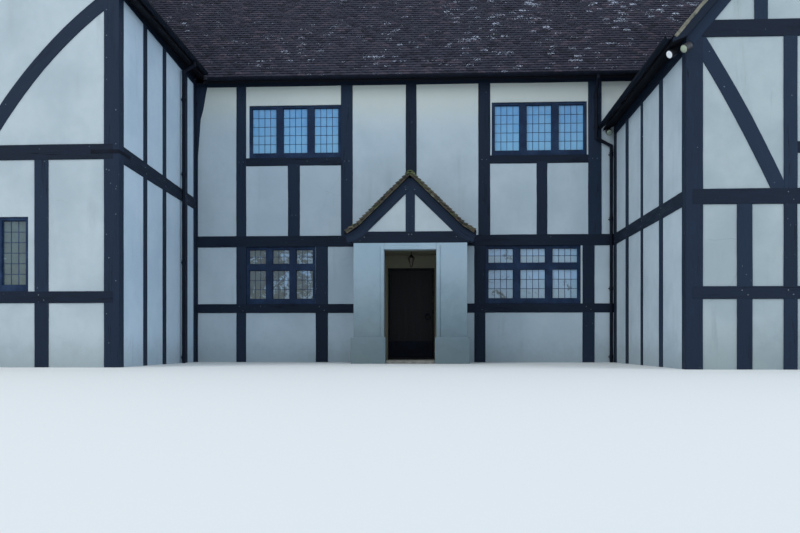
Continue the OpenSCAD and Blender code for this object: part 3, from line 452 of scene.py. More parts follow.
def worn_stone(name, pale, dark, mossy):
    """Stone or mortar with open pits and moss in patches."""
    f = Finish(name)
    place = f.place()
    body = f.noise(place, 8.0, 6.0, 0.65)
    pits = f.noise(place, 60.0, 3.0, 0.6)
    colour = f.over(f.over(pale, dark, body, 0.35, 0.7), PIT_DIRT, pits, 0.6, 0.75, 0.5)
    f.colour(f.mix(f.between(f.noise(place, 3.0, 4.0, 0.7), 0.6, 0.7) * mossy, colour, STONE_MOSS))
    f.rough(body, 0.3, 0.7, 0.78, 0.92)
    f.bump((body, 0.004), (pits, 0.0015))
    return f.material


def clear_panes(name, dusty, clean):
    """The lantern's dusty amber panes."""
    f = Finish(name, specular_ior_level=0.3, roughness=0.2)
    dust = f.noise(f.place(), 22.0, 3.0, 0.6)
    f.colour(f.over(dusty, clean, dust, 0.35, 0.7))
    f.bump((dust, 0.0005))
    return f.material


def studio_floor():
    """Plain pale floor."""
    f = Finish("studio_floor", roughness=0.9, specular_ior_level=0.1)
    f.colour((218, 218, 215))
    return f.material


ROOF_TONES = ((22, 25, 38), (40, 43, 58), (54, 54, 68), (40, 45, 61), (76, 68, 80))
PORCH_TONES = ((40, 40, 38), (66, 66, 59), (90, 77, 66), (76, 79, 62), (106, 95, 82))
OAK = old_oak("frame_oak", (22, 31, 46), (41, 57, 78), (27, 34, 44))
PLASTER = limewash("limewash", (179, 190, 194), (165, 177, 182), (138, 148, 150), 0.7)
# A brighter copy of the limewash, which paints light onto the court's walls, with painted warm light under the
# eaves
LIT_HALL_PLASTER = limewash("hall_limewash", (184, 198, 206), (171, 186, 195), (144, 158, 164), 0.7, eaves=6.0)
WORN_PLASTER = limewash("worn_limewash", (165, 176, 178), (151, 163, 167), (113, 125, 125), 0.9, streaky=0.75)
# A brighter, bluer copy of the limewash for the left wing's court wall: painted sky light
SKYLIT_COURT_PLASTER = limewash("court_limewash", (180, 198, 212), (168, 188, 204), (140, 156, 168), 0.7)
# The porch's render is darker and bluer, and darker again towards its stain colour up to 2.6 m
PORCH_PLASTER = limewash("porch_limewash", (160, 179, 191), (148, 169, 182), (84, 107, 118), 2.6, damp=0.95)
TILE = clay_tile("roof_clay", ROOF_TONES, (196, 204, 220), (62, 66, 52), -0.03)
MOSS_TILE = clay_tile("porch_clay", PORCH_TONES, (150, 152, 136), (84, 94, 58), 0.1)
# Glass of the upper windows, coloured with a painted reflection of the sky
SKY_REFLECTION_GLASS = window_glass("sky_glass", (112, 176, 216), (78, 148, 204), (126, 182, 214))
# Glass of the ground windows: painted reflections of the sky and of dark trees
SKY_AND_TREE_REFLECTION_GLASS = window_glass("dim_glass", (150, 176, 190), (146, 184, 218), (126, 150, 160), (62, 84, 70))
LEAD = soft_metal("came_lead", (30, 46, 76), (50, 70, 104), 0.1, 0.5, 0.7, 0.2)
SHEET_LEAD = soft_metal("sheet_lead", (60, 66, 76), (88, 96, 104), 0.3, 0.5, 0.7)
IRON = soft_metal("painted_iron", (15, 20, 30), (24, 30, 42), 0.0, 0.6, 0.75, 0.08)
BRONZE = soft_metal("dark_bronze", (30, 26, 22), (52, 44, 34), 0.5, 0.4, 0.6)
PEG = soft_metal("peg_ends", (84, 94, 106), (118, 128, 138), 0.0, 0.7, 0.85)
LAMP_SHELL = soft_metal("lamp_shell", (22, 25, 32), (38, 42, 50), 0.2, 0.4, 0.6)
LAMP_WHITE = soft_metal("lamp_white", (226, 230, 232), (242, 244, 246), 0.0, 0.1, 0.25)
LAMP_GREY = soft_metal("lamp_grey", (112, 128, 116), (168, 178, 156), 0.0, 0.1, 0.25)
JOINERY = painted_joinery("painted_joinery", (28, 44, 69), (42, 60, 88), (58, 78, 106))
DOOR_OAK = plank_wood("door_oak", (13, 16, 22), (31, 34, 40), 2, 0.157, 0.5, 0.0, 0.2)
SOFFIT = plank_wood("soffit_boards", (16, 18, 25), (27, 30, 38), 1, 0.16, 0.65, 0.006, 0.1)
BOARDS = plank_wood("floor_boards", (86, 62, 42), (136, 102, 70), 0, 0.2, 0.45, 0.004)
STONE = worn_stone("threshold_stone", (132, 132, 124), (100, 100, 94), 0.3)
MORTAR = worn_stone("lime_mortar", (112, 114, 108), (84, 86, 82), 0.6)
VERGE_BED = worn_stone("verge_bed", (118, 116, 102), (52, 54, 48), 0.6)
LAMP_GLASS = clear_panes("lantern_glass", (70, 60, 48), (46, 42, 36))


# Shapes
UP, SIDE_X, SIDE_Y = Vector((0, 0, 1)), Vector((1, 0, 0)), Vector((0, 1, 0))
EVEN_GRAIN = 0.05


def circle(centre, radius, count, side=SIDE_X, over=SIDE_Y):
    """Points round a centre, in the plane of two directions."""
    turns = [math.tau * k / count for k in range(count)]
    return [centre + side * radius * math.cos(turn) + over * radius * math.sin(turn) for turn in turns]


def sheet(outer, inner, arc):
    """Section of a curved sheet between two radii, out along an arc and back."""
    bands = ((outer, arc), (inner, arc[::-1]))
    return [(math.cos(turn) * radius, math.sin(turn) * radius) for radius, turns in bands for turn in turns]


class Shape:
    """Collects faces with their own grain map and tone, and turns them into one piece."""

    def __init__(self, name):
        self.name = name
        self.points, self.faces, self.grain, self.tones = [], [], [], []

    def tube(self, rings, tone=0.5, girth=None, lengths=None, shift=(0.0, 0.0)):
        """Joins equal rings of points into a closed bar; girth and lengths place its grain."""
        base, count = len(self.points), len(rings[0])
        girth = girth or [EVEN_GRAIN * k for k in range(count + 1)]
        lengths = lengths or [EVEN_GRAIN * j for j in range(len(rings))]
        for ring in rings:
            self.points.extend(ring)
        for j in range(len(rings) - 1):
            for k in range(count):
                m = (k + 1) % count
                low, high = base + j * count, base + (j + 1) * count
                self.faces.append((low + k, low + m, high + m, high + k))
                v0, v1 = girth[k] + shift[1], girth[k + 1] + shift[1]
                u0, u1 = lengths[j] + shift[0], lengths[j + 1] + shift[0]
                self.grain.extend(((u0, v0), (u0, v1), (u1, v1), (u1, v0)))
                self.tones.append(tone)
        for j, turn in ((0, -1), (len(rings) - 1, 1)):
            row = [base + j * count + k for k in range(count)][::turn]
            self.faces.append(tuple(row))
            self.grain.extend((girth[k] * 0.3 + shift[0], girth[k] + shift[1]) for k in range(count))
            self.tones.append(tone)

    def box(self, low, high, tone=0.5, lengthwise=2):
        """A squared bar between two corners, closed at its ends along one direction."""
        i, k = [axis for axis in range(3) if axis != lengthwise]
        rings = []
        for end in (low, high):
            ring = []
            for s, t in ((0, 0), (1, 0), (1, 1), (0, 1)):
                point = Vector((0, 0, 0))
                point[lengthwise], point[i], point[k] = end[lengthwise], (low, high)[s][i], (low, high)[t][k]
                ring.append(point)
            rings.append(ring)
        self.tube(rings, tone)

    def plate(self, outline, depth, up, side, tone=0.5):
        """A board cut to an outline, with its grain along the way up."""
        base, count = len(self.points), len(outline)
        self.points.extend([p.copy() for p in outline] + [p + depth for p in outline])
        caps = [tuple(range(base, base + count)), tuple(range(base + count, base + 2 * count))]
        rims = [(base + k, base + (k + 1) % count, base + count + (k + 1) % count, base + count + k)
                for k in range(count)]
        for face in caps + rims:
            self.faces.append(face)
            self.grain.extend((self.points[i].dot(up), self.points[i].dot(side) + tone * 9.0) for i in face)
            self.tones.append(tone)

    def piece(self, material, smooth_angle=None):
        """The collected faces as one object at the frame's origin, with every face outwards."""
        mesh = bpy.data.meshes.new(self.name)
        mesh.from_pydata([tuple(Vector(p) + ORIGIN) for p in self.points], [], self.faces)
        layer = mesh.uv_layers.new(name="grain")
        layer.data.foreach_set("uv", [c for pair in self.grain for c in pair])
        tones = mesh.attributes.new("tone", "FLOAT", "FACE")
        tones.data.foreach_set("value", self.tones)
        made = bmesh.new()
        made.from_mesh(mesh)
        bmesh.ops.recalc_face_normals(made, faces=made.faces)
        made.to_mesh(mesh)
        made.free()
        return as_object(self.name, mesh, material, smooth_angle)


def as_object(name, mesh, material, smooth_angle=None):
    """Puts a mesh in the scene with one material, and smooth up to an angle where one is given."""
    mesh.materials.clear()
    mesh.materials.append(material)
    if smooth_angle is not None:
        mesh.shade_smooth()
        mesh.set_sharp_from_angle(angle=math.radians(smooth_angle))
    obj = bpy.data.objects.new(name, mesh)
    bpy.context.scene.collection.objects.link(obj)
    return obj


def fix(obj, body, slot, *nodes):
    """Lets a piece ride on its body and hides the nodes that it stands for; the slot is not used."""
    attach(obj, body)
    if nodes:
        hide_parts(*nodes)


# Timber frames
EDGE_WAVE = 0.008
STATION = 0.11
CHAMFER = 0.007
ARRIS = 0.01
RANK_RAFTER, RANK_RAIL, RANK_POST, RANK_BRACE = -0.0045, -0.003, 0.0, 0.003
LAP = 0.03
ROUND_ANGLE, HEWN_ANGLE = 40, 35


class Frame(Shape):
    """Timbers of one wall or more. A wall is an axis, its face and the way that it looks."""

    def __init__(self, name, seed):
        super().__init__(name)
        self.draw = random.Random(seed)
        self.pegs = []
        self.wall = None

    def on(self, axis, face, out):
        """Turns to the wall that the next timbers are on."""
        self.wall = (axis, face, out)
        return self

    def point(self, a, z, deep):
        """A place along the wall, at a height and a depth behind its face."""
        axis, face, out = self.wall
        return Vector((a, face - out * deep, z)) if axis == "y" else Vector((face - out * deep, a, z))

    def peg(self, a, z, deep):
        """Marks a peg's end on the wall."""
        axis, _, out = self.wall
        self.pegs.append((self.point(a, z, deep), (SIDE_Y if axis == "y" else SIDE_X) * out))

    def timber(self, path, widths, rank=RANK_POST, depth=TIMBER_D, wave=EDGE_WAVE):
        """One timber along points (a, z) with its width at each, in the wall's plane."""
        spots, total = [], 0.0
        for (p, q), (w0, w1) in zip(zip(path, path[1:]), zip(widths, widths[1:])):
            p, q = Vector(p), Vector(q)
            span = (q - p).length
            steps = max(1, round(span / STATION))
            for i in range(steps):
                share = i / steps
                spots.append((p.lerp(q, share), w0 + (w1 - w0) * share, total + span * share))
            total += span
        spots.append((Vector(path[-1]), widths[-1], total))
        level = abs(path[-1][1] - path[0][1]) < 0.3 * abs(path[-1][0] - path[0][0])
        seed = self.draw.uniform(0, 90)
        tone = self.draw.random() * 0.35 if level else self.draw.uniform(0.3, 1.0)
        shift = (self.draw.uniform(0, 40), self.draw.uniform(0, 40))
        rings = []
        for i, (spot, width, run) in enumerate(spots):
            way = (spots[min(i + 1, len(spots) - 1)][0] - spots[max(i - 1, 0)][0]).normalized()
            side = Vector((-way.y, way.x))
            edges = []
            for s in (-1, 1):
                slow = noise.noise(Vector((run * 1.1 + seed, s * 7.3, seed)))
                quick = noise.noise(Vector((run * 5.5 + seed, s * 3.1, 4.0)))
                edges.append(width / 2 + wave * max(0.0, 0.5 + 0.55 * slow + 0.22 * quick))
            low, high = -edges[0], edges[1]
            face = rank + 0.0011 * noise.noise(Vector((run * 2.0, seed, 1.0)))
            third = (high - low) / 3
            section = (
                (low + CHAMFER, face), (low + third, face), (high - third, face), (high - CHAMFER, face),
                (high, face + CHAMFER), (high, depth), (low, depth), (low, face + CHAMFER))
            rings.append([self.point(spot.x + side.x * u, spot.y + side.y * u, deep) for u, deep in section])
        w = widths[0]
        girth = [0, w * 0.33, w * 0.66, w, w + ARRIS, w + ARRIS + depth, 2 * w + ARRIS + depth,
                 2 * (w + ARRIS + depth), 2 * (w + ARRIS + depth) + ARRIS]
        self.tube(rings, tone, girth, [run for _, _, run in spots], shift)

    def post(self, a, width, z0, z1, rails=(), rank=RANK_POST, depth=TIMBER_D, wave=EDGE_WAVE):
        """An upright between heights, cut where rails cross it and pegged to them."""
        cuts = sorted(rail for rail in rails if rail[0] > z0 + 0.2 and rail[1] < z1 - 0.05)
        low = z0
        for rail in cuts + [None]:
            high = z1 if rail is None else rail[0] + LAP
            self.timber([(a, low), (a, high)], [width, width], rank, depth, wave)
            if rail is not None:
                for s in (-1, 1):
                    z = (rail[0] + rail[1]) / 2 + s * (rail[1] - rail[0]) * self.draw.uniform(0.16, 0.26)
                    self.peg(a - s * width * 0.2, z, RANK_RAIL)
                low = rail[1] - LAP

    def rail(self, a0, a1, z, rank=RANK_RAIL, depth=TIMBER_D, wave=EDGE_WAVE):
        """A level timber between an underside and a top."""
        mid = (z[0] + z[1]) / 2
        self.timber([(a0, mid), (a1, mid)], [z[1] - z[0]] * 2, rank, depth, wave)

    def rafters(self, a0, a1, eaves):
        """Two rafters that follow the slopes from the corners to the ridge."""
        way = Vector((math.cos(PITCH), math.sin(PITCH)))
        drop = Vector((math.sin(PITCH), -math.cos(PITCH))) * RAFTER_W / 2
        run = (a1 - a0) / 2 / math.cos(PITCH)
        for start, s in ((a0, 1), (a1, -1)):
            foot = Vector((start + s * drop.x, eaves + drop.y))
            head = foot + Vector((s * way.x, way.y)) * (run - RAFTER_W * 0.42)
            self.timber([tuple(foot), tuple(head)], [RAFTER_W] * 2, RANK_RAFTER, TIMBER_D, EDGE_WAVE * 0.6)

    def brace(self, corner, way, places, width):
        """A curved brace from a head through a middle to half a step past its foot, measured from a corner."""
        head, mid, foot = [Vector(place) for place in places]
        pull = 2 * mid - (head + foot) / 2
        path = []
        for i in range(BRACE_STEPS + 1):
            t = i / (BRACE_STEPS - 0.5)
            p = (1 - t) ** 2 * head + t * t * foot + 2 * t * (1 - t) * pull
            path.append((corner + way * p.x, p.y))
        self.timber(path, [width] * len(path), RANK_BRACE)

    def plain_wall(self, a0, a1, rail, plate, eaves, windows):
        """Even bays with a rail, a low rail, a plate and a sill under each upper window."""
        count = max(2, round((a1 - a0) / PLAIN_BAY))
        for i in range(1, count):
            self.post(a0 + (a1 - a0) * i / count, PLAIN_W, 0, plate + LAP, (LOW_RAIL, rail))
        for z in (LOW_RAIL, rail, (plate, eaves)):
            self.rail(a0, a1, z)
        half = PLAIN_BAY / 2 - PLAIN_W / 2 + LAP
        for window in windows:
            mid = (window[0] + window[1]) / 2
            self.rail(mid - half, mid + half, (window[2] - SILL_H, window[2]), RANK_BRACE)


def gable_top(a, a0, a1, eaves):
    """Height of a stud's head under the rafters of a gable."""
    return eaves + ((a1 - a0) / 2 - abs(a - (a0 + a1) / 2)) * RISE - RAFTER_W / math.cos(PITCH) / 2


def plain_window(mid, z):
    """A window's left edge, right edge, underside, top, number of lights, and whether it has a transom."""
    return (mid - PLAIN_WIN / 2, mid + PLAIN_WIN / 2, z[0], z[1], 2, False)


def plain_windows(a0, a1, z):
    """A window in every other bay of a plain wall."""
    count = max(2, round((a1 - a0) / PLAIN_BAY))
    return [plain_window(a0 + (a1 - a0) * (i + 0.5) / count, z) for i in range(1, count, 2)]


HALL_UPPER = [(-3.617, -1.568, *UPPER_WIN, 3, False), (1.738, 3.8, *UPPER_WIN, 3, False)]
HALL_GROUND = [(-3.688, -2.136, *GROUND_WIN, 3, True), (1.6, 3.667, *GROUND_WIN, 3, True)]
LEFT_STUD = (1.334, 0.236)
LEFT_SIDE = (LEFT_Y0 + WALL_T, HALL_DEPTH - WALL_T)
RIGHT_SIDE = (RIGHT_Y0 + WALL_T, 0.0)
LEFT_CORNERS = ((1, LEFT_X0), (-1, LEFT_X1))
RIGHT_CORNERS = ((1, RIGHT_X0), (-1, RIGHT_X1))
left_ground_mids = [LEFT_MID + s * ((LEFT_X1 - LEFT_X0) / 2 - LEFT_STUD[0]) / 2 for s in (-1, 1)]
LEFT_GABLE_GROUND = [plain_window(mid, GROUND_WIN) for mid in left_ground_mids]
LEFT_GABLE_UPPER = [plain_window(LEFT_MID, UPPER_WIN)]
RIGHT_GABLE = [plain_window(RIGHT_MID, z) for z in (GROUND_WIN, RIGHT_UPPER_WIN)]
END_MIDS = [END_MID + s * HALL_DEPTH / 4 for s in (-1, 1)]
BACK_GROUND, BACK_UPPER = [plain_windows(LEFT_X1, RIGHT_X1, z) for z in (GROUND_WIN, UPPER_WIN)]
LEFT_OUTER = [plain_windows(*LEFT_SIDE, z) for z in (GROUND_WIN, UPPER_WIN)]
RIGHT_OUTER = [plain_windows(*RIGHT_SIDE, z) for z in (GROUND_WIN, RIGHT_UPPER_WIN)]
END_GROUND, END_UPPER = [[plain_window(mid, z) for mid in END_MIDS] for z in (GROUND_WIN, UPPER_WIN)]

# Places and widths of the posts and studs that the court shows, and the braces' heads, middles and feet
HALL_POSTS = ((-3.793, 0.21), (-1.443, 0.25), (-0.025, 0.23), (1.574, 0.25), (3.967, 0.28))
HALL_LOW_POSTS = ((-3.793, 0.21), (-1.996, 0.264), (1.48, 0.233), (3.831, 0.25))
HALL_MID_STUDS = ((-2.618, 0.245), (2.826, 0.216))
HALL_JOWL = ((0.0, 0.036), (4.56, 0.036), (5.4, 0.099), (5.61, 0.155), (HALL_PLATE + LAP, 0.245))
LEFT_COURT_POSTS = ((-0.69, 0.19), (-1.993, 0.175), (-3.003, 0.168))
RIGHT_COURT_POSTS = ((-0.1, 0.2), (-1.128, 0.206), (-2.256, 0.135), (-3.5, 0.2))
LEFT_BRACE = (0.071, 6.296), (1.342, 5.158), (2.356, 3.733)
RIGHT_BRACE = (0.127, 5.2), (0.832, 3.96), (1.428, 2.74)
BRACE_STEPS = 14


def hall_front():
    """The hall's court wall, with the posts either side of the porch and a jowled post in the left corner."""
    f = Frame("hall_front_timbers", 11).on("y", 0, -1)
    f.rail(LEFT_X1, RIGHT_X0, RAIL)
    f.rail(LEFT_X1, -PORCH_IN - RAIL_STOP, LOW_RAIL)
    f.rail(PORCH_IN + RAIL_STOP, RIGHT_X0, LOW_RAIL)
    for a, w in HALL_POSTS:
        f.post(a, w, RAIL[1] - LAP, HALL_PLATE + LAP)
    for a, w in HALL_LOW_POSTS:
        f.post(a, w, 0, RAIL[0] + LAP, (LOW_RAIL,))
    window_posts = [a for a, _ in HALL_POSTS[:2] + HALL_POSTS[3:]]
    for a0, a1 in (window_posts[:2], window_posts[2:]):
        f.rail(a0, a1, SILL_RAIL, RANK_BRACE)
    for a, w in HALL_MID_STUDS:
        f.post(a, w, RAIL[1] - LAP, SILL_RAIL[0] + LAP, (), RANK_BRACE, TIMBER_D, EDGE_WAVE * 2.2)
    jowl = [(LEFT_X1 + w / 2, z) for z, w in HALL_JOWL]
    f.timber(jowl, [w for _, w in HALL_JOWL], RANK_POST, TIMBER_D, 0.005)
    for a, top in ((LEFT_X1 - WALL_T / 2, HALL_PLATE), (RIGHT_X0 + WALL_T / 2, RIGHT_PLATE)):
        f.post(a, WALL_T, 0, top, (), RANK_BRACE, WALL_T, 0.0)
    for s in (-1, 1):
        for a in window_posts:
            f.peg(a + s * 0.05, (SILL_RAIL[0] + SILL_RAIL[1]) / 2, RANK_POST)
    return f, ("hall_front_frame", "over_door_frame")


def eaves_plate():
    """The plate under the hall's front eaves."""
    f = Frame("hall_eaves_timber", 12).on("y", 0, -1)
    f.rail(LEFT_X1 - WALL_T, RIGHT_X1 - WALL_T, (HALL_PLATE, HALL_EAVES), RANK_RAFTER, WALL_T)
    return f, ("hall_eaves_plate",)


def hall_back():
    """The hall's back wall, in even bays between two corner posts."""
    f = Frame("hall_back_timbers", 13).on("y", HALL_DEPTH, 1)
    f.plain_wall(LEFT_X1, RIGHT_X1, RAIL, HALL_PLATE, HALL_EAVES, BACK_UPPER)
    for a in (LEFT_X1 + CORNER_W / 2, RIGHT_X1 - CORNER_W / 2):
        f.post(a, CORNER_W, 0, HALL_EAVES, (), RANK_RAFTER, WALL_T)
    return f, ("hall_back_frame",)


def left_gables():
    """The left wing's two gable walls, braced in curves over the rail, with many pegs in the corner posts."""
    f = Frame("left_gable_timbers", 14)
    sill_half = PLAIN_WIN / 2 + WIN_SIDE
    collar = (LEFT_TIE[0] + 1.3, LEFT_TIE[0] + 1.3 + TIE_H)
    half = (LEFT_EAVES + (LEFT_X1 - LEFT_X0) / 2 * RISE - collar[1]) / RISE
    for face, out in ((LEFT_Y0, -1), (HALL_DEPTH, 1)):
        f.on("y", face, out)
        for s, corner in LEFT_CORNERS:
            f.post(corner + s * CORNER_W / 2, CORNER_W, 0, LEFT_EAVES, (), RANK_POST, WALL_T)
            f.post(corner + s * LEFT_STUD[0], LEFT_STUD[1], 0, LEFT_RAIL[0] + LAP, (LOW_RAIL,))
            stud = corner + s * 1.8
            f.post(stud, PLAIN_W, LEFT_TIE[1] - LAP, gable_top(stud, LEFT_X0, LEFT_X1, LEFT_EAVES))
            f.brace(corner, s, LEFT_BRACE, 0.234)
        f.post(LEFT_MID, PLAIN_W, 0, UPPER_WIN[0], (LOW_RAIL, LEFT_RAIL))
        top = gable_top(LEFT_MID, LEFT_X0, LEFT_X1, LEFT_EAVES)
        f.post(LEFT_MID, PLAIN_W, UPPER_WIN[1], top - 0.1, (LEFT_TIE, collar))
        f.rail(LEFT_MID - sill_half, LEFT_MID + sill_half, SILL_RAIL)
        for inset, z in ((0.1, LEFT_RAIL), (0.1, LOW_RAIL), (0.3, LEFT_TIE)):
            f.rail(LEFT_X0 + inset, LEFT_X1 - inset, z)
        f.rail(LEFT_MID - half + 0.1, LEFT_MID + half - 0.1, collar)
        f.rafters(LEFT_X0, LEFT_X1, LEFT_EAVES)
        for s, corner in LEFT_CORNERS:
            for step in range(14):
                z = 0.5 + step * 0.42 + f.draw.uniform(-0.15, 0.15)
                f.peg(corner + s * f.draw.choice((0.05, 0.17, 0.21)), z, 0.0)
    return f, ("left_wing_gable_frames",)


def left_sides():
    """The left wing's court wall, whose rail and plate fall towards the hall, and its plain outer wall."""
    f = Frame("left_side_timbers", 15).on("x", LEFT_X1, 1)
    for y, w in LEFT_COURT_POSTS:
        share = y / LEFT_SIDE[0]
        f.post(y, w, 0, LEFT_PLATE, ((3.38 + 0.09 * share, 3.615 + 0.145 * share),))
    f.post(-0.075, 0.15, 0, LEFT_PLATE, ((3.38, 3.615),), RANK_POST, TIMBER_D, 0.004)
    f.timber([(LEFT_SIDE[0], 3.615), (0, 3.4975)], [0.29, 0.235], RANK_RAIL)
    f.timber([(LEFT_SIDE[0], LEFT_EAVES - 0.03), (0, LEFT_EAVES - 0.1075)], [0.06, 0.215], RANK_RAIL)
    f.on("x", LEFT_X0, -1)
    f.plain_wall(*LEFT_SIDE, LEFT_RAIL, LEFT_PLATE, LEFT_EAVES, LEFT_OUTER[1])
    return f, ("left_wing_side_frames",)


def right_gables():
    """The right wing's front gable and the hall's right-hand end gable."""
    f = Frame("right_gable_timbers", 16).on("y", RIGHT_Y0, -1)
    for s, corner in RIGHT_CORNERS:
        f.post(corner + s * CORNER_W / 2, CORNER_W, 0, RIGHT_EAVES, (), RANK_POST, WALL_T)
        f.post(corner + s * 1.58, 0.2, 0, RIGHT_TIE[0] + LAP, (LOW_RAIL, RAIL))
        f.post(corner + s * 0.89, 0.225, 0, RAIL[0] + LAP, (LOW_RAIL,))
        stud = corner + s * 1.136
        f.post(stud, 0.2, RIGHT_TIE[1] - LAP, gable_top(stud, RIGHT_X0, RIGHT_X1, RIGHT_EAVES))
        f.brace(corner, s, RIGHT_BRACE, 0.225)
    top = gable_top(RIGHT_MID, RIGHT_X0, RIGHT_X1, RIGHT_EAVES)
    f.post(RIGHT_MID, PLAIN_W, RIGHT_TIE[1] - LAP, top - 0.1)
    for inset, z in ((0.1, RAIL), (0.1, LOW_RAIL), (0.25, RIGHT_TIE)):
        f.rail(RIGHT_X0 + inset, RIGHT_X1 - inset, z)
    sill = (RIGHT_UPPER_WIN[0] - SILL_H, RIGHT_UPPER_WIN[0])
    f.rail(RIGHT_X0 + 1.58, RIGHT_X1 - 1.58, sill, RANK_BRACE)
    f.rafters(RIGHT_X0, RIGHT_X1, RIGHT_EAVES)
    f.on("x", RIGHT_X1, 1)
    f.post(END_MID, PLAIN_W, 0, gable_top(END_MID, 0, HALL_DEPTH, HALL_EAVES) - 0.1,
           (LOW_RAIL, RAIL, SILL_RAIL, HALL_TIE))
    for mid in END_MIDS:
        f.post(mid, PLAIN_W, HALL_TIE[1] - LAP, gable_top(mid, 0, HALL_DEPTH, HALL_EAVES))
        for s in (-1, 1):
            side = mid + s * (PLAIN_WIN + PLAIN_W) / 2
            f.post(side, PLAIN_W, 0, HALL_TIE[0] + LAP, (LOW_RAIL, RAIL, SILL_RAIL))
    f.post(CORNER_W / 2, CORNER_W, 0, HALL_EAVES, (), RANK_POST, WALL_T)
    for z in (RAIL, LOW_RAIL, SILL_RAIL):
        f.rail(0.1, HALL_DEPTH - 0.05, z)
    f.rail(0.3, HALL_DEPTH - 0.3, HALL_TIE)
    f.rafters(0, HALL_DEPTH, HALL_EAVES)
    return f, ("right_gable_frames",)


def right_sides():
    """The right wing's court wall and its plain outer wall."""
    f = Frame("right_side_timbers", 17).on("x", RIGHT_X0, -1)
    for y, w in RIGHT_COURT_POSTS:
        f.post(y, w, 0, RIGHT_PLATE + LAP, (RAIL,))
    f.rail(RIGHT_SIDE[0], 0, RAIL)
    f.rail(RIGHT_SIDE[0], 0, (RIGHT_PLATE, RIGHT_EAVES))
    f.on("x", RIGHT_X1, 1)
    f.plain_wall(*RIGHT_SIDE, RAIL, RIGHT_PLATE, RIGHT_EAVES, RIGHT_OUTER[1])
    return f, ("right_wing_side_frames",)


def porch_gable():
    """Flared rafters, tie and king stud of the porch's front."""
    f = Frame("porch_gable_timbers", 18).on("y", -PORCH_DEEP, -1)
    slant = math.hypot(1, PORCH_RISE)
    wide = PORCH_RAFTER / slant
    drop = Vector((PORCH_RISE, -1)) / slant * wide / 2
    for s in (-1, 1):
        inward = Vector((-s * drop.x, drop.y))
        top = Vector((0, PORCH_APEX)) + inward + Vector((s * 0.03, -0.03 * PORCH_RISE))
        bend = Vector((s * FLARE_X, FLARE_Z)) + inward
        foot = Vector((s * FOOT_X, (FOOT_Z + PORCH_TIE[0]) / 2))
        mid = bend.lerp(foot, 0.5) + Vector((0, -0.012))
        f.timber([tuple(top), tuple(bend), tuple(mid), tuple(foot)],
                 [wide, wide, wide * 0.97, FOOT_Z - PORCH_TIE[0]], RANK_RAFTER, PORCH_T, 0.004)
    f.rail(-FOOT_X + 0.12, FOOT_X - 0.12, PORCH_TIE, RANK_RAIL, PORCH_T, 0.004)
    f.post(0, KING_W, PORCH_TIE[1] - LAP, PORCH_APEX - PORCH_RAFTER * 0.8, (), RANK_POST, PORCH_T, 0.006)
    for s in (-1, 1):
        f.peg(s * 0.03, PORCH_TIE[1] - 0.06, RANK_RAIL)
        f.peg(s * 0.93, PORCH_TIE[0] + 0.12, RANK_RAFTER)
        f.peg(s * 0.09, PORCH_APEX - 0.28, RANK_RAFTER)
    return f, ("porch_gable_frame",)


# Dressing the frame's own nodes
def dress(node, material, bevel=None, segments=2):
    """Gives a node its finish, on a welded mesh with eased arrises."""
    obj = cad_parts[node]
    obj.data.materials.clear()
    obj.data.materials.append(material)
    weld = obj.modifiers.new("weld", "WELD")
    weld.merge_threshold = 0.0001
    if bevel:
        edge = obj.modifiers.new("bevel", "BEVEL")
        edge.width, edge.segments, edge.limit_method = bevel, segments, "ANGLE"
        edge.angle_limit = math.radians(30)
        edge.use_clamp_overlap = True


def merged_copy(node, name):
    """A node's mesh as welded shells, free to shape into a piece."""
    made = bmesh.new()
    made.from_mesh(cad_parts[node].data)
    bmesh.ops.remove_doubles(made, verts=made.verts, dist=0.0002)
    bmesh.ops.dissolve_limit(made, angle_limit=math.radians(0.5), verts=made.verts, edges=made.edges)
    mesh = bpy.data.meshes.new(name)
    made.to_mesh(mesh)
    made.free()
    return mesh


def rounded(node, material, slot, body="house"):
    """Stands a welded, smooth copy in for a node with round parts."""
    name = node + "_smooth"
    fix(as_object(name, merged_copy(node, name), material, ROUND_ANGLE), body, slot, node)


# Roofs
class Slope:
    """One face of a roof: its wall line, the way up, its run, and the ends of its courses."""

    def __init__(self, name, node, axis, wall, way, half, eaves, ends):
        self.name, self.node, self.axis, self.wall, self.way = name, node, axis, wall, way
        self.eaves, self.ends, self.neighbours = eaves, ends, ()
        self.low = (-EAVES_OUT, eaves + EDGE_UP)
        self.high = (half, eaves + half * RISE + ROOF_UP)

    def world(self, along, d, z):
        """A place along the eaves, a way in from the wall line and a height, as a point of the frame."""
        spot = self.wall + self.way * d
        return (Vector((spot, along, z)) if self.axis == "y" else Vector((along, spot, z))) + ORIGIN

    def foot(self, along):
        """A point of the lower edge."""
        return self.world(along, *self.low)

    def head(self, along):
        """A point of the ridge."""
        return self.world(along, *self.high)

    def plane(self):
        """Outward normal and a point of the outer face."""
        rise = (self.high[1] - self.low[1]) / (self.high[0] - self.low[0])
        slant = math.hypot(1, rise)
        flat = -self.way * rise / slant
        normal = Vector((flat, 0, 1 / slant)) if self.axis == "y" else Vector((0, flat, 1 / slant))
        return normal, self.foot(0)


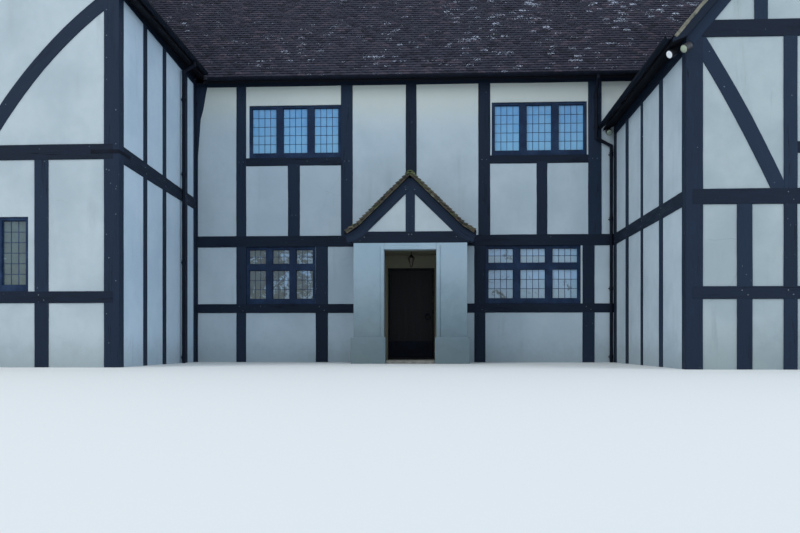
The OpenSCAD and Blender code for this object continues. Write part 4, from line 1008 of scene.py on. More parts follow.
LEFT_ENDS = (LEFT_Y0 - VERGE_OUT, HALL_DEPTH + VERGE_OUT)
RIGHT_ENDS = (RIGHT_Y0 - VERGE_OUT, HALL_DEPTH / 2)
HALL_ENDS = (LEFT_MID, RIGHT_X1 + VERGE_OUT)
LEFT_HALF, HALL_HALF, RIGHT_HALF = (LEFT_X1 - LEFT_X0) / 2, HALL_DEPTH / 2, (RIGHT_X1 - RIGHT_X0) / 2
left_outer = Slope("left_outer", "left_roof_outer", "y", LEFT_X0, 1, LEFT_HALF, LEFT_EAVES, LEFT_ENDS)
left_inner = Slope("left_inner", "left_roof_inner", "y", LEFT_X1, -1, LEFT_HALF, LEFT_EAVES, LEFT_ENDS)
hall_fore = Slope("hall_front", "hall_roof_front", "x", 0, 1, HALL_HALF, HALL_EAVES, HALL_ENDS)
hall_rear = Slope("hall_back", "hall_roof_back", "x", HALL_DEPTH, -1, HALL_HALF, HALL_EAVES, HALL_ENDS)
right_inner = Slope("right_inner", "right_roof_inner", "y", RIGHT_X0, 1, RIGHT_HALF, RIGHT_EAVES, RIGHT_ENDS)
right_outer = Slope("right_outer", "right_roof_outer", "y", RIGHT_X1, -1, RIGHT_HALF, RIGHT_EAVES, RIGHT_ENDS)
left_inner.neighbours = ((hall_fore, hall_rear),)
hall_fore.neighbours = ((left_outer, left_inner), (right_inner, right_outer))
hall_rear.neighbours = ((left_outer, left_inner),)
right_inner.neighbours = right_outer.neighbours = ((hall_fore,),)
HOUSE_SLOPES = (left_outer, left_inner, hall_fore, hall_rear, right_inner, right_outer)

TILE_GAUGE, TILE_W, TILE_LONG, TILE_T = 0.1, 0.165, 0.162, 0.0125
TILE_SINK, TILE_IN, TILE_MIDDLE = 0.004, 0.005, 0.07
DECK_SINK = 0.05
BARGE, BARGE_GAP = 0.022, 0.006
NEAR = 0.002


class Tree(Nodes):
    """A Geometry Nodes tree with named inputs, which an object's modifier runs once."""

    def __init__(self, name, sizes):
        group = bpy.data.node_groups.new(name, "GeometryNodeTree")
        super().__init__(group)
        group.interface.new_socket("Geometry", in_out="OUTPUT", socket_type="NodeSocketGeometry")
        self.sockets = {}
        inputs = [("Geometry", "Geometry", None), *sizes, ("Seed", "Int", 1), ("Material", "Material", None)]
        for label, kind, value in inputs:
            made = group.interface.new_socket(label, in_out="INPUT", socket_type="NodeSocket" + kind)
            if value is not None:
                made.default_value = value
            self.sockets[label] = made.identifier
        self.start = {label: self.node("NodeGroupInput", None, None, label) for label, _, _ in inputs}

    def draw(self, low, high, number):
        """A random value for each point or instance, from the seed and the draw's own number."""
        sockets = {2: low, 3: high, "Seed": self.start["Seed"] + number}
        return self.node("FunctionNodeRandomValue", {"data_type": "FLOAT"}, sockets, 1)

    def store(self, geometry, domain, name, value):
        """Keeps a value on the geometry under a name that materials read."""
        settings = {"data_type": "FLOAT", "domain": domain}
        sockets = {"Geometry": geometry, "Name": name, "Value": value}
        return self.node("GeometryNodeStoreNamedAttribute", settings, sockets)

    def scatter(self, instance, rotation):
        """One instance on each of the points."""
        sockets = {"Points": self.start["Geometry"], "Instance": instance, "Rotation": rotation}
        return self.node("GeometryNodeInstanceOnPoints", None, sockets)

    def finish(self, geometry):
        """Ends in real meshes with the piece's material."""
        real = self.node("GeometryNodeRealizeInstances", None, {"Geometry": geometry})
        sockets = {"Geometry": real, "Material": self.start["Material"]}
        self.node("NodeGroupOutput", None, {0: self.node("GeometryNodeSetMaterial", None, sockets)})

    def run(self, name, points, material, ways=None, **values):
        """The tree's result on a cloud of points, as a plain mesh object."""
        cloud = bpy.data.meshes.new(name + "_points")
        cloud.from_pydata([tuple(p) for p in points], [], [])
        if ways:
            stored = cloud.attributes.new("facing", "FLOAT_VECTOR", "POINT")
            stored.data.foreach_set("vector", [c for way in ways for c in way])
        host = as_object(name + "_host", cloud, material)
        modifier = host.modifiers.new("nodes", "NODES")
        modifier.node_group = self.tree
        modifier[self.sockets["Material"]] = material
        for key, value in values.items():
            modifier[self.sockets[key.replace("_", " ").title()]] = value
        depsgraph = bpy.context.evaluated_depsgraph_get()
        mesh = bpy.data.meshes.new_from_object(host.evaluated_get(depsgraph), depsgraph=depsgraph)
        bpy.data.objects.remove(host)
        mesh.name = name
        return as_object(name, mesh, material)


def tile_tree():
    """Cambered tiles on points of a slope, each lifted, slid and turned a little, and burnt its own tone."""
    g = Tree("tile_courses", [
        ("Slope", "Rotation", None), ("Width", "Float", TILE_W), ("Gauge", "Float", TILE_GAUGE),
        ("Length", "Float", TILE_LONG), ("Thickness", "Float", TILE_T), ("Camber", "Float", 0.004),
        ("Lift", "Float", 0.003), ("Slide", "Float", 0.006), ("Turn", "Float", 0.02)])
    s = g.start
    size = g.xyz(s["Width"] - 0.003, s["Length"], s["Thickness"])
    slab = g.node("GeometryNodeMeshCube", None, {"Size": size, "Vertices X": 4})
    across = g.part(g.node("GeometryNodeInputPosition"), 0) / s["Width"]
    bow = g.xyz(0.0, s["Length"] * 0.5, across * across * s["Camber"] * -4.0 - s["Thickness"] * 0.5)
    tile = g.node("GeometryNodeSetPosition", None, {"Geometry": slab, "Offset": bow})
    # Each point's place along its tile, where the roof's material paints shadow under the next course
    tile = g.store(tile, "POINT", "rise", g.part(g.node("GeometryNodeInputPosition"), 1))
    placed = g.scatter(tile, s["Slope"])
    lean = g.xyz(s["Thickness"] / s["Gauge"] * -1.0, g.draw(-1.0, 1.0, 3) * s["Turn"] * 0.35,
                 g.draw(-1.0, 1.0, 4) * s["Turn"])
    turned = g.node("GeometryNodeRotateInstances", None, {"Instances": placed, "Rotation": lean})
    slip = g.xyz(g.draw(-0.002, 0.002, 5), g.draw(0.0, 1.0, 6) * s["Slide"], g.draw(-1.0, 0.0, 7) * s["Lift"])
    slid = g.node("GeometryNodeTranslateInstances", None, {"Instances": turned, "Translation": slip})
    g.finish(g.store(slid, "INSTANCE", "tone", g.draw(0.0, 1.0, 8)))
    return g


def stud_tree():
    """Round heads of pegs, which look the way that each point faces."""
    g = Tree("stud_heads", [("Radius", "Float", 0.012), ("Height", "Float", 0.006), ("Dome", "Float", 0.7)])
    s = g.start
    cone = {"Vertices": 10, "Radius Top": s["Radius"] * s["Dome"], "Radius Bottom": s["Radius"],
            "Depth": s["Height"]}
    head = g.node("GeometryNodeMeshCone", None, cone)
    facing = g.node("GeometryNodeInputNamedAttribute", {"data_type": "FLOAT_VECTOR"}, {"Name": "facing"})
    placed = g.scatter(head, g.node("FunctionNodeAlignRotationToVector", {"axis": "Z"}, {"Vector": facing}))
    size = g.draw(0.85, 1.15, 2)
    sockets = {"Instances": placed, "Scale": g.xyz(size, size, 1.0)}
    scaled = g.node("GeometryNodeScaleInstances", None, sockets)
    g.finish(g.store(scaled, "INSTANCE", "tone", g.draw(0.0, 1.0, 3)))
    return g


TILES, STUDS = tile_tree(), stud_tree()


def below(slope, spot):
    """Whether a spot lies inside the roof under a slope's outer face."""
    spot = spot - ORIGIN
    d = ((spot.x if slope.axis == "y" else spot.y) - slope.wall) * slope.way
    gap = slope.eaves + ROOF_UP + d * RISE - spot.z
    if d < -EAVES_OUT or gap < 0.05:
        return False
    return gap < ROOF_UP if d < 0.05 else True


def tile_spots(start, end, low, high, neighbours):
    """Tail points of tiles between two ends, from a low edge to a high one, each a function of the run."""
    start, end = start + TILE_IN, end - TILE_IN
    columns = max(1, round((end - start) / TILE_W))
    width = (end - start) / columns
    slant = high(0) - low(0)
    length, up = slant.length, slant.normalized()
    if length > TILE_LONG + TILE_GAUGE:
        rows = math.ceil((length - TILE_LONG) / TILE_GAUGE) + 1
        step = (length - TILE_LONG) / (rows - 1)
    else:
        rows, step = math.ceil(length / TILE_GAUGE), TILE_GAUGE
    spots = []
    for row in range(rows):
        for column in range(columns + row % 2):
            along = start + (column + 0.5 - 0.5 * (row % 2)) * width
            along = min(max(along, start + width / 2), end - width / 2)
            spot = low(along) + up * step * row
            middle = spot + up * TILE_MIDDLE
            if not any(all(below(slope, middle) for slope in group) for group in neighbours):
                spots.append(spot)
    return spots, width


def lay_tiles(name, ends, low, high, neighbours, material, slot, seed, **values):
    """Courses of tiles on the face between a low edge and a high one, bedded a little into it."""
    up = (high(0) - low(0)).normalized()
    normal = up.cross(low(1) - low(0)).normalized()
    if normal.z < 0:
        normal = -normal
    spots, width = tile_spots(*ends, low, high, neighbours)
    spots = [spot - normal * TILE_SINK for spot in spots]
    turn = Matrix((up.cross(normal), up, normal)).transposed().to_euler()
    fix(TILES.run(name, spots, material, slope=turn, width=width, seed=seed, **values), "house", slot)


def roof_deck(slope, verges, boards, draw):
    """Boards and soffit, made of the slope's solid lowered to under the tiles, and its bargeboards."""
    name = slope.name + "_deck"
    mesh = merged_copy(slope.node, name)
    normal, point = slope.plane()
    for vertex in mesh.vertices:
        if abs((vertex.co - point).dot(normal)) < NEAR:
            vertex.co.z -= DECK_SINK
    axis = 1 if slope.axis == "y" else 0
    up = (slope.head(0) - slope.foot(0)).normalized()
    for end, inward in verges:
        plane = end + ORIGIN[axis]
        for face in mesh.polygons:
            corners = [mesh.vertices[i].co for i in face.vertices]
            if abs(face.normal[axis]) > 0.99 and all(abs(co[axis] - plane) < NEAR for co in corners):
                depth = Vector((0, 0, 0))
                depth[axis] = inward * BARGE
                outline = [co - ORIGIN + depth * 0.3 for co in corners]
                boards.plate(outline, depth, up, normal, draw.random())
        for vertex in mesh.vertices:
            if abs(vertex.co[axis] - plane) < NEAR:
                vertex.co[axis] += inward * (BARGE + BARGE_GAP)
    fix(as_object(name, mesh, SOFFIT), "house", "roof_tile", slope.node)


def verge_bed(bed, slope, end, inward, draw):
    """Mortar struck unevenly under the tiles along one verge."""
    normal, _ = slope.plane()
    foot, head = slope.foot(end) - ORIGIN, slope.head(end) - ORIGIN
    inward_way = (SIDE_Y if slope.axis == "y" else SIDE_X) * inward
    up = (head - foot).normalized()
    count = max(2, round((head - foot).length / 0.12))
    rings = []
    for i in range(count + 1):
        spot = foot.lerp(head - up * 0.04, i / count) + up * 0.012
        face = 0.003 + draw.uniform(-0.002, 0.003)
        top = -0.014 + draw.uniform(-0.004, 0.001)
        deep = -0.064 + draw.uniform(-0.008, 0.006)
        section = ((face, deep), (0.06, deep), (0.06, top), (face, top))
        rings.append([spot + inward_way * a + normal * b for a, b in section])
    bed.tube(rings)


def house_roofs():
    """Decks, tiles, bargeboards and verges of the six slopes."""
    verges = [(slope, slope.ends[0], 1) for slope in (left_outer, left_inner)]
    verges += [(slope, slope.ends[1], -1) for slope in (left_outer, left_inner)]
    verges += [(slope, slope.ends[0], 1) for slope in (right_inner, right_outer)]
    verges += [(slope, slope.ends[1], -1) for slope in (hall_fore, hall_rear)]
    boards, bed, draw = Shape("bargeboards"), Shape("verge_mortar"), random.Random(5)
    for seed, slope in enumerate(HOUSE_SLOPES):
        roof_deck(slope, [verge[1:] for verge in verges if verge[0] is slope], boards, draw)
        lay_tiles(slope.name + "_tiles", slope.ends, slope.foot, slope.head, slope.neighbours, TILE,
                  "roof_tile", seed + 3)
    fix(boards.piece(OAK), "house", "timber")
    for slope, end, inward in verges:
        verge_bed(bed, slope, end, inward, draw)
    fix(bed.piece(VERGE_BED), "house", "plaster")


RIDGE_R, RIDGE_T, RIDGE_LONG = 0.115, 0.017, 0.33
RIDGE_ARC = [math.radians(8 + 164 * k / 9) for k in range(10)]
RIDGE_STEPS = ((0.0, 0.0), (0.03, 0.0), (0.9, -0.004), (0.9, 0.0), (1.02, 0.0))


def ridge_row(shape, start, end, crown, axis, across, draw):
    """Half-round ridge tiles from end to end, each with a collar over the next."""
    count = max(1, round((end - start) / RIDGE_LONG))
    long = (end - start) / count
    for i in range(count):
        tone, tilt = draw.random(), draw.uniform(-0.004, 0.0)
        rings = []
        for share, grow in RIDGE_STEPS:
            low = draw.uniform(-0.0008, 0.0008) + tilt * share
            section = sheet(RIDGE_R + grow, RIDGE_R + grow - RIDGE_T, RIDGE_ARC)
            along = start + (i + (min(share, 1.0) if i == count - 1 else share)) * long
            base = crown - RIDGE_R + low - 0.001
            rings.append([Vector((across + c, along, base + z)) if axis == "y"
                          else Vector((along, across + c, base + z)) for c, z in section])
        shape.tube(rings, tone)


def ridges():
    """Ridge tiles of the three ranges on their mortar."""
    left_crown = LEFT_EAVES + LEFT_HALF * RISE + ROOF_UP
    hall_crown = HALL_EAVES + HALL_HALF * RISE + ROOF_UP
    right_crown = RIGHT_EAVES + RIGHT_HALF * RISE + ROOF_UP
    hall_start = LEFT_X1 - (hall_crown - LEFT_EAVES - ROOF_UP) / RISE
    right_end = (right_crown - HALL_EAVES - ROOF_UP) / RISE + 0.05
    rows = ((*LEFT_ENDS, left_crown, "y", LEFT_MID), (hall_start, HALL_ENDS[1], hall_crown, "x", END_MID),
            (RIGHT_ENDS[0], right_end, right_crown, "y", RIGHT_MID))
    draw = random.Random(9)
    tiles, bed = Shape("ridge_tiles"), Shape("ridge_mortar")
    for start, end, crown, axis, mid in rows:
        ridge_row(tiles, start, end, crown, axis, mid, draw)
        low, high = (mid - 0.105, start + 0.01, crown - 0.135), (mid + 0.105, end - 0.01, crown - 0.07)
        if axis == "x":
            low, high = (low[1], low[0], low[2]), (high[1], high[0], high[2])
        bed.box(low, high, 0.5, 1 if axis == "y" else 0)
    fix(tiles.piece(TILE, ROUND_ANGLE), "house", "roof_tile")
    fix(bed.piece(MORTAR), "house", "plaster")


# Windows: axis, face and way out of each wall, with its windows on the ground storey and the upper one
WINDOW_WALLS = (
    ("y", 0.0, -1, HALL_GROUND, HALL_UPPER),
    ("y", HALL_DEPTH, 1, BACK_GROUND + LEFT_GABLE_GROUND, BACK_UPPER + LEFT_GABLE_UPPER),
    ("y", LEFT_Y0, -1, LEFT_GABLE_GROUND, LEFT_GABLE_UPPER),
    ("y", RIGHT_Y0, -1, RIGHT_GABLE[:1], RIGHT_GABLE[1:]),
    ("x", LEFT_X0, -1, LEFT_OUTER[0], LEFT_OUTER[1]),
    ("x", RIGHT_X1, 1, RIGHT_OUTER[0] + END_GROUND, RIGHT_OUTER[1] + END_UPPER))


def lights(window):
    """Open rectangles between a window's joinery, as left, right, underside and top."""
    a0, a1, z0, z1, count, transom = window
    wide = (a1 - a0 - 2 * WIN_SIDE - (count - 1) * WIN_MULLION) / count
    low, high = z0 + WIN_SILL, z1 - WIN_HEAD
    rows = [(low, TRANSOM[0]), (TRANSOM[1], high)] if transom else [(low, high)]
    for i in range(count):
        left = a0 + WIN_SIDE + i * (wide + WIN_MULLION)
        for low, high in rows:
            yield left, left + wide, low, high


def wall_box(shape, wall, a, z, deep, lengthwise=2):
    """A box on a wall, between two places along it, two heights and two depths behind its face."""
    axis, face, out = wall
    d0, d1 = sorted(face - out * d for d in deep)
    if axis == "y":
        shape.box((a[0], d0, z[0]), (a[1], d1, z[1]), 0.5, lengthwise)
    else:
        shape.box((d0, a[0], z[0]), (d1, a[1], z[1]), 0.5, 1 if lengthwise == 0 else lengthwise)


def pane(shape, wall, a, z, deep, tone, draw):
    """One quarry of glass, bedded a little out of true."""
    axis, face, out = wall
    corners = []
    for along, up in ((a[0], z[0]), (a[1], z[0]), (a[1], z[1]), (a[0], z[1])):
        front = deep + draw.uniform(-0.0012, 0.0012)
        spots = [face - out * front, face - out * (deep + 0.005)]
        corners.append([Vector((along, s, up)) if axis == "y" else Vector((s, along, up)) for s in spots])
    rings = [[corner[0] for corner in corners], [corner[1] for corner in corners]]
    shape.tube(rings, tone + draw.uniform(-0.12, 0.12))


def leaded_light(wall, light, glass, lead, casement, draw):
    """A slim casement round rows of quarries, with cames between them."""
    a0, a1, z0, z1 = light
    deep, c, lap = WIN_BACK + WIN_D, CASEMENT, CASEMENT_LAP
    upright, level = (z0 - lap, z1 + lap), (a0 + c, a1 - c)
    for a, z, way in (((a0 - lap, a0 + c), upright, 2), ((a1 - c, a1 + lap), upright, 2),
                      (level, (z0 - lap, z0 + c), 0), (level, (z1 - c, z1 + lap), 0)):
        wall_box(casement, wall, a, z, (deep - CASEMENT_D, deep), way)
    cols, rows = round((a1 - a0) / QUARRY_W), round((z1 - z0) / QUARRY_H)
    left, low = a0 + c, z0 + c
    wide, tall = (a1 - a0 - 2 * c) / cols, (z1 - z0 - 2 * c) / rows
    for i in range(cols):
        for j in range(rows):
            across, up = (left + i * wide, left + (i + 1) * wide), (low + j * tall, low + (j + 1) * tall)
            # Each pane's tone rises with its row, for the glass's painted sky reflection
            pane(glass, wall, across, up, deep - PANE_FORE, (j + 0.5) / rows, draw)
    back = deep - CAME_BACK
    for i in range(1, cols):
        mid = left + i * wide + draw.uniform(-CAME_STRAY, CAME_STRAY)
        wall_box(lead, wall, (mid - CAME_HALF, mid + CAME_HALF), (low, z1 - c), (deep - UPRIGHT_FORE, back))
    for j in range(1, rows):
        mid = low + j * tall + draw.uniform(-CAME_STRAY, CAME_STRAY)
        wall_box(lead, wall, (left, a1 - c), (mid - CAME_HALF, mid + CAME_HALF), (deep - LEVEL_FORE, back), 0)


def glaze(name, storey, node, finish, seed):
    """Leaded lights of one storey."""
    draw = random.Random(seed)
    glass, lead, casement = [Shape(name + ending) for ending in ("_panes", "_cames", "_casements")]
    for axis, face, out, *storeys in WINDOW_WALLS:
        for window in storeys[storey]:
            for light in lights(window):
                leaded_light((axis, face, out), light, glass, lead, casement, draw)
    fix(glass.piece(finish), "house", "glass", node)
    fix(lead.piece(LEAD), "house", "joinery")
    fix(casement.piece(JOINERY), "house", "joinery")


# Porch: ridge, bend and edge of its roof's outer face, as x and z, and the ends of its courses
TILES_UP = 0.1 * math.hypot(1, PORCH_RISE)
EDGE_OUT = 0.032
FLARE_FALL = (FLARE_Z - FOOT_Z) / (FOOT_X - FLARE_X)
ROOF_RIDGE = (0.0, PORCH_APEX + TILES_UP)
ROOF_BEND = (FLARE_X, FLARE_Z + TILES_UP)
ROOF_EDGE = (FOOT_X + EDGE_OUT, FOOT_Z - EDGE_OUT * FLARE_FALL + 0.1)
ROOF_CREST = (0.05, ROOF_RIDGE[1] - 0.05 * PORCH_RISE)
PORCH_ENDS = (-PORCH_DEEP - 0.1, -0.02)
PORCH_DECK_SINK, PORCH_DECK_IN = 0.04, 0.034
PORCH_TILE_SIZES = {"thickness": 0.026, "camber": 0.006, "lift": 0.006, "slide": 0.012, "turn": 0.04}


def porch_deck(node):
    """The slope's solid with its outer face lowered to under the tiles and its front drawn in."""
    mesh = merged_copy(node, node + "_deck")
    for vertex in mesh.vertices:
        x, z = abs(vertex.co.x - ORIGIN.x), vertex.co.z
        for (x0, z0), (x1, z1) in ((ROOF_RIDGE, ROOF_BEND), (ROOF_BEND, ROOF_EDGE)):
            face = z0 + (z1 - z0) * (x - x0) / (x1 - x0)
            if x0 - NEAR <= x <= x1 + NEAR and abs(z - face) < NEAR:
                vertex.co.z -= PORCH_DECK_SINK
                break
        if vertex.co.y - ORIGIN.y < PORCH_ENDS[0] + NEAR:
            vertex.co.y += PORCH_DECK_IN
    fix(as_object(node + "_deck", mesh, SOFFIT), "house", "porch_tile", node)


def porch_tiles(node, side):
    """Thick mossy tiles on one slope, over and below its bend."""
    def line(point):
        return lambda a: Vector((side * point[0], a, point[1])) + ORIGIN

    bend = line(ROOF_BEND)
    courses = (("_tiles", bend, line(ROOF_CREST), 21), ("_sprocket_tiles", line(ROOF_EDGE), bend, 25))
    for name, low, high, seed in courses:
        lay_tiles(node + name, PORCH_ENDS, low, high, (), MOSS_TILE, "porch_tile", seed + side,
                  **PORCH_TILE_SIZES)


def porch_ridge(draw):
    """Four bent ridge tiles."""
    start, end = PORCH_ENDS[0] + 0.02, PORCH_ENDS[1]
    shape, count = Shape("porch_ridge_tiles"), 4
    section = [(x, -0.036 if x == 0.0 else -abs(x) * PORCH_RISE) for x in (-0.1, -0.05, 0.0, 0.05, 0.1)]
    long = (end - start) / count
    for i in range(count):
        tone = draw.random()
        rings = []
        for share, drop in ((0.0, 0.002), (0.9, 0.006), (0.9, 0.002), (1.0, 0.002)):
            along, top = start + (i + share) * long, ROOF_RIDGE[1] - drop
            rings.append([Vector((x, along, top + z)) for x, z in section]
                         + [Vector((x, along, top + z - 0.02)) for x, z in section[::-1]])
        shape.tube(rings, tone)
    fix(shape.piece(MOSS_TILE), "house", "porch_tile")


# Undercloaks of the verge: top and underside of each course, how far it leans, and how far back it stands
VERGE_COURSES = ((-0.002, -0.036, 0.028, 0.002), (-0.042, -0.064, 0.012, 0.006), (-0.066, -0.098, 0.0, 0.012))


def porch_verges(draw):
    """Ragged ends of tiles, three deep, up both sides of the gable."""
    verge = Shape("porch_verge_tiles")
    for side in (-1, 1):
        for (x0, z0), (x1, z1) in ((ROOF_EDGE, ROOF_BEND), (ROOF_BEND, ROOF_CREST)):
            low, high = Vector((x0, 0, z0)), Vector((x1, 0, z1))
            up = (high - low).normalized()
            out = Vector((-up.z, 0, up.x)) if up.x > 0 else Vector((up.z, 0, -up.x))
            count = max(1, round((high - low).length / 0.085))
            for i in range(count):
                foot, head = low.lerp(high, i / count), low.lerp(high, (i + 1) / count)
                for top, under, lean, near in VERGE_COURSES:
                    top, under = top + draw.uniform(-0.008, 0.0), under + draw.uniform(-0.004, 0.004)
                    corners = [foot + out * top, head + out * (top - lean), head + out * (under - lean),
                               foot + out * under]
                    front = PORCH_ENDS[0] + near + 0.001 * i % 0.003
                    outline = [Vector((side * p.x, front, p.z)) for p in corners]
                    verge.plate(outline, Vector((0, 0.03, 0)), up, out, draw.random())
    fix(verge.piece(MOSS_TILE), "house", "porch_tile")


def porch_flashing():
    """Lead dressed up the hall's wall along both slopes."""
    flashing = Shape("porch_flashing")
    path = [(ROOF_EDGE[0] - 0.03, ROOF_EDGE[1] + 0.02), ROOF_BEND, (0.012, ROOF_RIDGE[1])]
    section = ((-0.006, -0.02), (-0.002, -0.02), (-0.002, 0.11), (-0.006, 0.11))
    for side in (-1, 1):
        for (x0, z0), (x1, z1) in zip(path, path[1:]):
            steps = max(1, round(math.hypot(x1 - x0, z1 - z0) / 0.2))
            spots = [(x0 + (x1 - x0) * i / steps, z0 + (z1 - z0) * i / steps) for i in range(steps + 1)]
            for ends in zip(spots, spots[1:]):
                flashing.tube([[Vector((side * x, y, z + up)) for y, up in section] for x, z in ends])
    fix(flashing.piece(SHEET_LEAD), "house", "iron")


def porch_roofs():
    """Both slopes, the ridge, the verges and the flashing."""
    for side, label in ((-1, "left"), (1, "right")):
        node = "porch_roof_" + label
        porch_deck(node)
        porch_tiles(node, side)
    draw = random.Random(31)
    porch_ridge(draw)
    porch_verges(draw)
    porch_flashing()


def rail_stops():
    """Render that closes the porch's side walls over the ends of the low rails."""
    stops = Shape("rail_stops")
    for s in (-1, 1):
        x0, x1 = sorted((s * (PORCH_IN + 0.0005), s * (PORCH_IN + RAIL_STOP)))
        stops.box((x0, 0.0, LOW_RAIL[0]), (x1, TIMBER_D, LOW_RAIL[1]), 0.5, 0)
    fix(stops.piece(PORCH_PLASTER), "house", "plaster")


def door_pieces():
    """Plank leaf with its cover strips."""
    low, high = plan_box("front_door")
    leaf, strips = Shape("door_leaf"), Shape("door_cover_strips")
    planks, gap, strip_half = 6, 0.0012, 0.014
    wide = (high.x - low.x) / planks
    for i in range(planks):
        x = low.x + i * wide
        leaf.box((x + gap, low.y + 0.004 + gap * (i % 2), low.z), (x + wide - gap, high.y, high.z))
        if i:
            strips.box((x - strip_half, low.y, low.z + 0.36), (x + strip_half, low.y + 0.008, high.z - 0.012))
    leaf.box((low.x, low.y + 0.012, low.z), (high.x, high.y - 0.001, high.z), 0.4)
    fix(leaf.piece(DOOR_OAK), "door", "door_oak", "front_door")
    fix(strips.piece(DOOR_OAK), "door", "door_oak")


def lantern_pieces():
    """Six-sided porch lantern: a spire over a body that narrows to its foot, with glass between its bars."""
    low, high = plan_box("lantern")
    mid = (low + high) / 2
    cap_top, cap_foot, foot = high.z - 0.06, high.z - 0.132, low.z + 0.022
    metal, glass = Shape("lantern_metal"), Shape("lantern_panes")

    def rim(radius, z, sides=6):
        return circle(Vector((mid.x, mid.y, z)), radius, sides)

    metal.tube([rim(0.006, z, 8) for z in (high.z, cap_top - 0.004)])
    metal.tube([rim(*level) for level in (
        (0.008, cap_top), (0.022, cap_top - 0.012), (0.073, cap_foot + 0.008), (0.0765, cap_foot),
        (0.069, cap_foot - 0.004), (0.06, cap_foot - 0.004))])
    metal.tube([rim(*level) for level in (
        (0.02, foot + 0.004), (0.026, foot), (0.018, low.z + 0.008), (0.004, low.z))])
    for ends in zip(rim(0.067, cap_foot - 0.002), rim(0.0235, foot)):
        section = [Vector((a, b, 0)) * 0.004 for a, b in ((-1, -1), (1, -1), (1, 1), (-1, 1))]
        metal.tube([[spot + corner for corner in section] for spot in ends])
    glass.tube([rim(0.065, cap_foot - 0.003), rim(0.022, foot + 0.002)])
    fix(metal.piece(BRONZE), "house", "lantern_metal", "lantern")
    fix(glass.piece(LAMP_GLASS), "house", "glass")


# Gutters: axis, middle line, height of the eaves, start and end
GUTTER_OUT = EAVES_OUT + GUTTER_R
GUTTER_RUNS = (
    ("x", -GUTTER_OUT, HALL_EAVES, LEFT_X1 + 0.4, RIGHT_X0 - 0.25),
    ("x", HALL_DEPTH + GUTTER_OUT, HALL_EAVES, LEFT_X1 + 0.4, RIGHT_X1),
    ("y", LEFT_X1 + GUTTER_OUT, LEFT_EAVES, LEFT_Y0, -0.4),
    ("y", LEFT_X0 - GUTTER_OUT, LEFT_EAVES, LEFT_Y0, HALL_DEPTH),
    ("y", RIGHT_X0 - GUTTER_OUT, RIGHT_EAVES, RIGHT_Y0, -0.1),
    ("y", RIGHT_X1 + GUTTER_OUT, RIGHT_EAVES, RIGHT_Y0, -0.1))
BRACKET_GAP, UNION_HALF, BRACKET_HALF = 0.9, 0.03, 0.014

# Pipes: x, y and the heights of their collars; a collar's radii and heights
PIPES = ((LEFT_X1 + 0.06, -1.04, (0.12, 2.1, 3.94, 5.5)), (RIGHT_X0 - 0.07, -0.06, (0.12, 1.6, 3.1, 4.5)),
         (RIGHT_X0 - 0.39, -0.06, (5.1, 5.75)))
COLLAR = ((0.036, -0.045), (0.042, -0.04), (0.042, 0.03), (0.0435, 0.03), (0.0435, 0.042), (0.036, 0.042))


def gutter_brackets():
    """Brackets and union joints that hold the gutters from below."""
    brackets = Shape("gutter_brackets")
    arc = [math.pi * (1.07 + 0.86 * k / 8) for k in range(9)]
    section = sheet(GUTTER_R + 0.0008, GUTTER_R - 0.005, arc)
    for axis, mid, eaves, start, end in GUTTER_RUNS:
        top = eaves + EDGE_UP - 0.005
        count = max(2, round((end - start) / BRACKET_GAP))
        for i in range(count + 1):
            along = start + (end - start) * i / count
            wide = UNION_HALF if i % 2 else BRACKET_HALF
            brackets.tube([[Vector((a, mid + c, top + s)) if axis == "x" else Vector((mid + c, a, top + s))
                            for c, s in section] for a in (along - wide, along + wide)])
    fix(brackets.piece(IRON, ROUND_ANGLE), "house", "iron")


def pipe_collars():
    """Collars on the downpipes, with the ears that fasten them to the wall."""
    collars = Shape("pipe_collars")
    for x, y, heights in PIPES:
        back = (-0.012, 0.0) if y > -0.1 else (y - 0.01, y + 0.01)
        for height in heights:
            collars.tube([circle(Vector((x, y, height + up)), r, 16) for r, up in COLLAR])
            collars.box((x - 0.055, back[0], height - 0.01), (x + 0.055, back[1], height + 0.01), 0.5, 0)
    fix(collars.piece(IRON, ROUND_ANGLE), "house", "iron")


# Flood lamps: bracket's foot, its turn, the lamp's swing from it, and the glass
LAMP_ARM, LAMP_LONG, LAMP_DIP = 0.095, 0.13, math.radians(60)
LAMPS = (
    (Vector((RIGHT_X0, RIGHT_Y0 + 0.245, RIGHT_PLATE + 0.08)), -90, 25, LAMP_WHITE),
    (Vector((RIGHT_X0 + 0.015, RIGHT_Y0, RIGHT_PLATE + 0.035)), 0, -60, LAMP_GREY),
    (Vector((RIGHT_X0 - 0.14, 0.0, RIGHT_PLATE + 0.075)), 0, 0, LAMP_GREY))
BEZEL = ((0.056, -0.002), (0.056, 0.002), (0.0625, 0.002), (0.0625, -0.002))
LENS = ((0.058, -0.001), (0.058, 0.003), (0.04, 0.007), (0.012, 0.009))


def lamp_glasses():
    """Bezels and glasses on the flood lamps' ends."""
    bezel = Shape("lamp_bezels")
    for label, (foot, turn, swing, finish) in zip("abc", LAMPS):
        turns = math.radians(turn), math.radians(turn + swing)
        arm, lamp = [Vector((math.sin(t), -math.cos(t), 0)) for t in turns]
        way = lamp * math.sin(LAMP_DIP) + Vector((0, 0, -math.cos(LAMP_DIP)))
        side = way.cross(UP).normalized()
        end = foot + arm * LAMP_ARM + way * LAMP_LONG
        glass = Shape("lamp_glass_" + label)
        for shape, profile in ((bezel, BEZEL), (glass, LENS)):
            shape.tube([circle(end + way * out, r, 24, side, side.cross(way)) for r, out in profile])
        fix(glass.piece(finish, ROUND_ANGLE), "house", "glass")
    fix(bezel.piece(LAMP_SHELL, ROUND_ANGLE), "house", "lamp_shell")


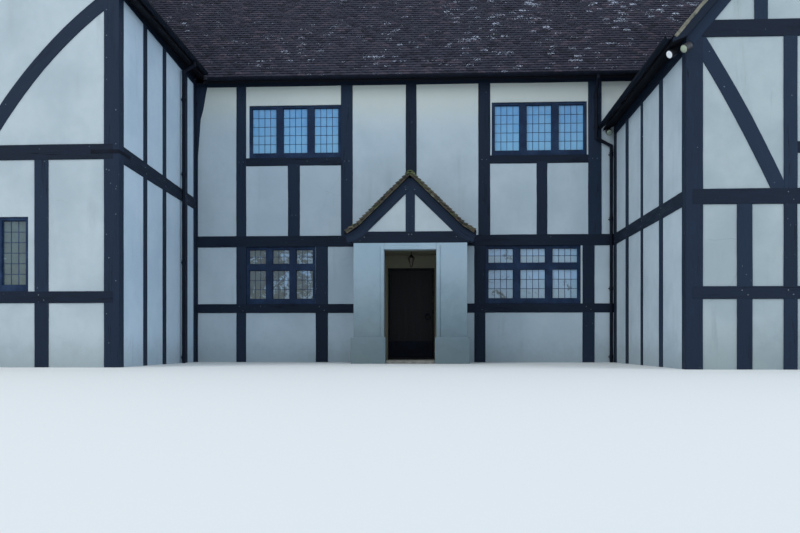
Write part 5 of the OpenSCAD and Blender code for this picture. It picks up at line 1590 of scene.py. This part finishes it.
# Build
FRAMES = (
    hall_front, eaves_plate, hall_back, left_gables, left_sides, right_gables, right_sides, porch_gable)
peg_spots, peg_ways = [], []
for make in FRAMES:
    timbers, replaced = make()
    fix(timbers.piece(OAK, HEWN_ANGLE), "house", "timber", *replaced)
    for spot, way in timbers.pegs:
        peg_spots.append(spot + ORIGIN)
        peg_ways.append(tuple(way))
pegs = STUDS.run("peg_ends", peg_spots, PEG, peg_ways, radius=0.009, height=0.006, dome=0.85, seed=7)
fix(pegs, "house", "timber")

# Nodes that keep their own shape: finish, bevel and its segments
DRESSES = (
    (PLASTER, None, 2, ("hall_back_plaster", "left_wing_gable_plaster", "porch_gable_plaster")),
    (LIT_HALL_PLASTER, None, 2, ("hall_front_plaster", "over_door_plaster", "wall_over_right_wing",
                             "right_wing_side_plaster")),
    (SKYLIT_COURT_PLASTER, None, 2, ("left_wing_side_plaster",)),
    (WORN_PLASTER, None, 2, ("right_gable_plaster",)),
    (PORCH_PLASTER, 0.012, 3, ("porch_piers", "porch_side_walls", "porch_lintel", "porch_ceiling")),
    (JOINERY, 0.005, 2, ("ground_window_frames", "upper_window_frames")),
    # The door frame takes the door's near-black finish, which paints the doorway's shade on its jambs
    (DOOR_OAK, 0.005, 2, ("door_frame",)),
    (BOARDS, None, 2, ("left_wing_floors", "hall_floors", "right_wing_floors")),
    (JOINERY, 0.006, 2, ("porch_side_plates",)),
    (STONE, 0.012, 2, ("porch_threshold",)),
    (IRON, 0.003, 2, ("door_kick_board",)),
    (IRON, 0.002, 2, ("corner_strap",)))
for finish, bevel, segments, nodes in DRESSES:
    for node in nodes:
        dress(node, finish, bevel, segments)
rounded("door_ring_handle", IRON, "iron", "door")
rounded("gutters", IRON, "iron")
rounded("downpipes", IRON, "iron")
rounded("flood_lamps", LAMP_SHELL, "lamp_shell")

house_roofs()
ridges()
glaze("ground_window", 0, "ground_glass", SKY_AND_TREE_REFLECTION_GLASS, 41)
glaze("upper_window", 1, "upper_glass", SKY_REFLECTION_GLASS, 42)
porch_roofs()
rail_stops()
door_pieces()
lantern_pieces()
gutter_brackets()
pipe_collars()
lamp_glasses()

# Stage, light and camera
scene = bpy.context.scene
ground = bpy.data.meshes.new("studio_floor")
ground.from_pydata([(-90, -60, 0), (90, -60, 0), (90, 120, 0), (-90, 120, 0)], [], [(0, 1, 2, 3)])
as_object("studio_floor", ground, studio_floor())

world = bpy.data.worlds.new("studio")
scene.world = world
world.use_nodes = True
world.node_tree.nodes.clear()
w = Nodes(world.node_tree)
kinds = ("Is Camera Ray", "Is Glossy Ray", "Is Transmission Ray")
sight = sum(w.node("ShaderNodeLightPath", None, None, kind) for kind in kinds)
ambient = w.node("ShaderNodeBackground", None, {"Color": (0.76, 0.87, 1.0, 1.0), "Strength": 1.05})
white = w.node("ShaderNodeBackground", None, {"Color": (1, 1, 1, 1), "Strength": 1.0})
both = w.node("ShaderNodeMixShader", None, {0: sight, 1: ambient, 2: white})
w.node("ShaderNodeOutputWorld", None, {"Surface": both})

LAMP_SIZE = 14


def area_light(name, place, target, energy, colour):
    """A large square lamp that looks at a target."""
    data = bpy.data.lights.new(name, "AREA")
    data.shape, data.size, data.energy, data.color = "SQUARE", LAMP_SIZE, energy, colour
    obj = bpy.data.objects.new(name, data)
    obj.location = place
    obj.rotation_euler = (Vector(target) - Vector(place)).to_track_quat("-Z", "Y").to_euler()
    scene.collection.objects.link(obj)


area_light("key", (-23, -22, 23), (0, 0, 3.5), 3300, (1.0, 0.98, 0.95))
area_light("fill", (24, -14, 10), (0, 0, 4), 2200, (0.82, 0.91, 1.0))
area_light("back", (4, 28, 20), (0, 2, 4), 2800, (0.95, 0.97, 1.0))

camera = bpy.data.cameras.new("camera")
camera.lens, camera.sensor_width, camera.shift_y = 35.0, 36.0, 0.098
camera.clip_end = 400
view = bpy.data.objects.new("camera", camera)
view.location = (1.086, -17.545, 0.38)
view.rotation_euler = (math.radians(90), 0, math.radians(2.65))
scene.collection.objects.link(view)
scene.camera = view
scene.view_settings.view_transform = "Standard"
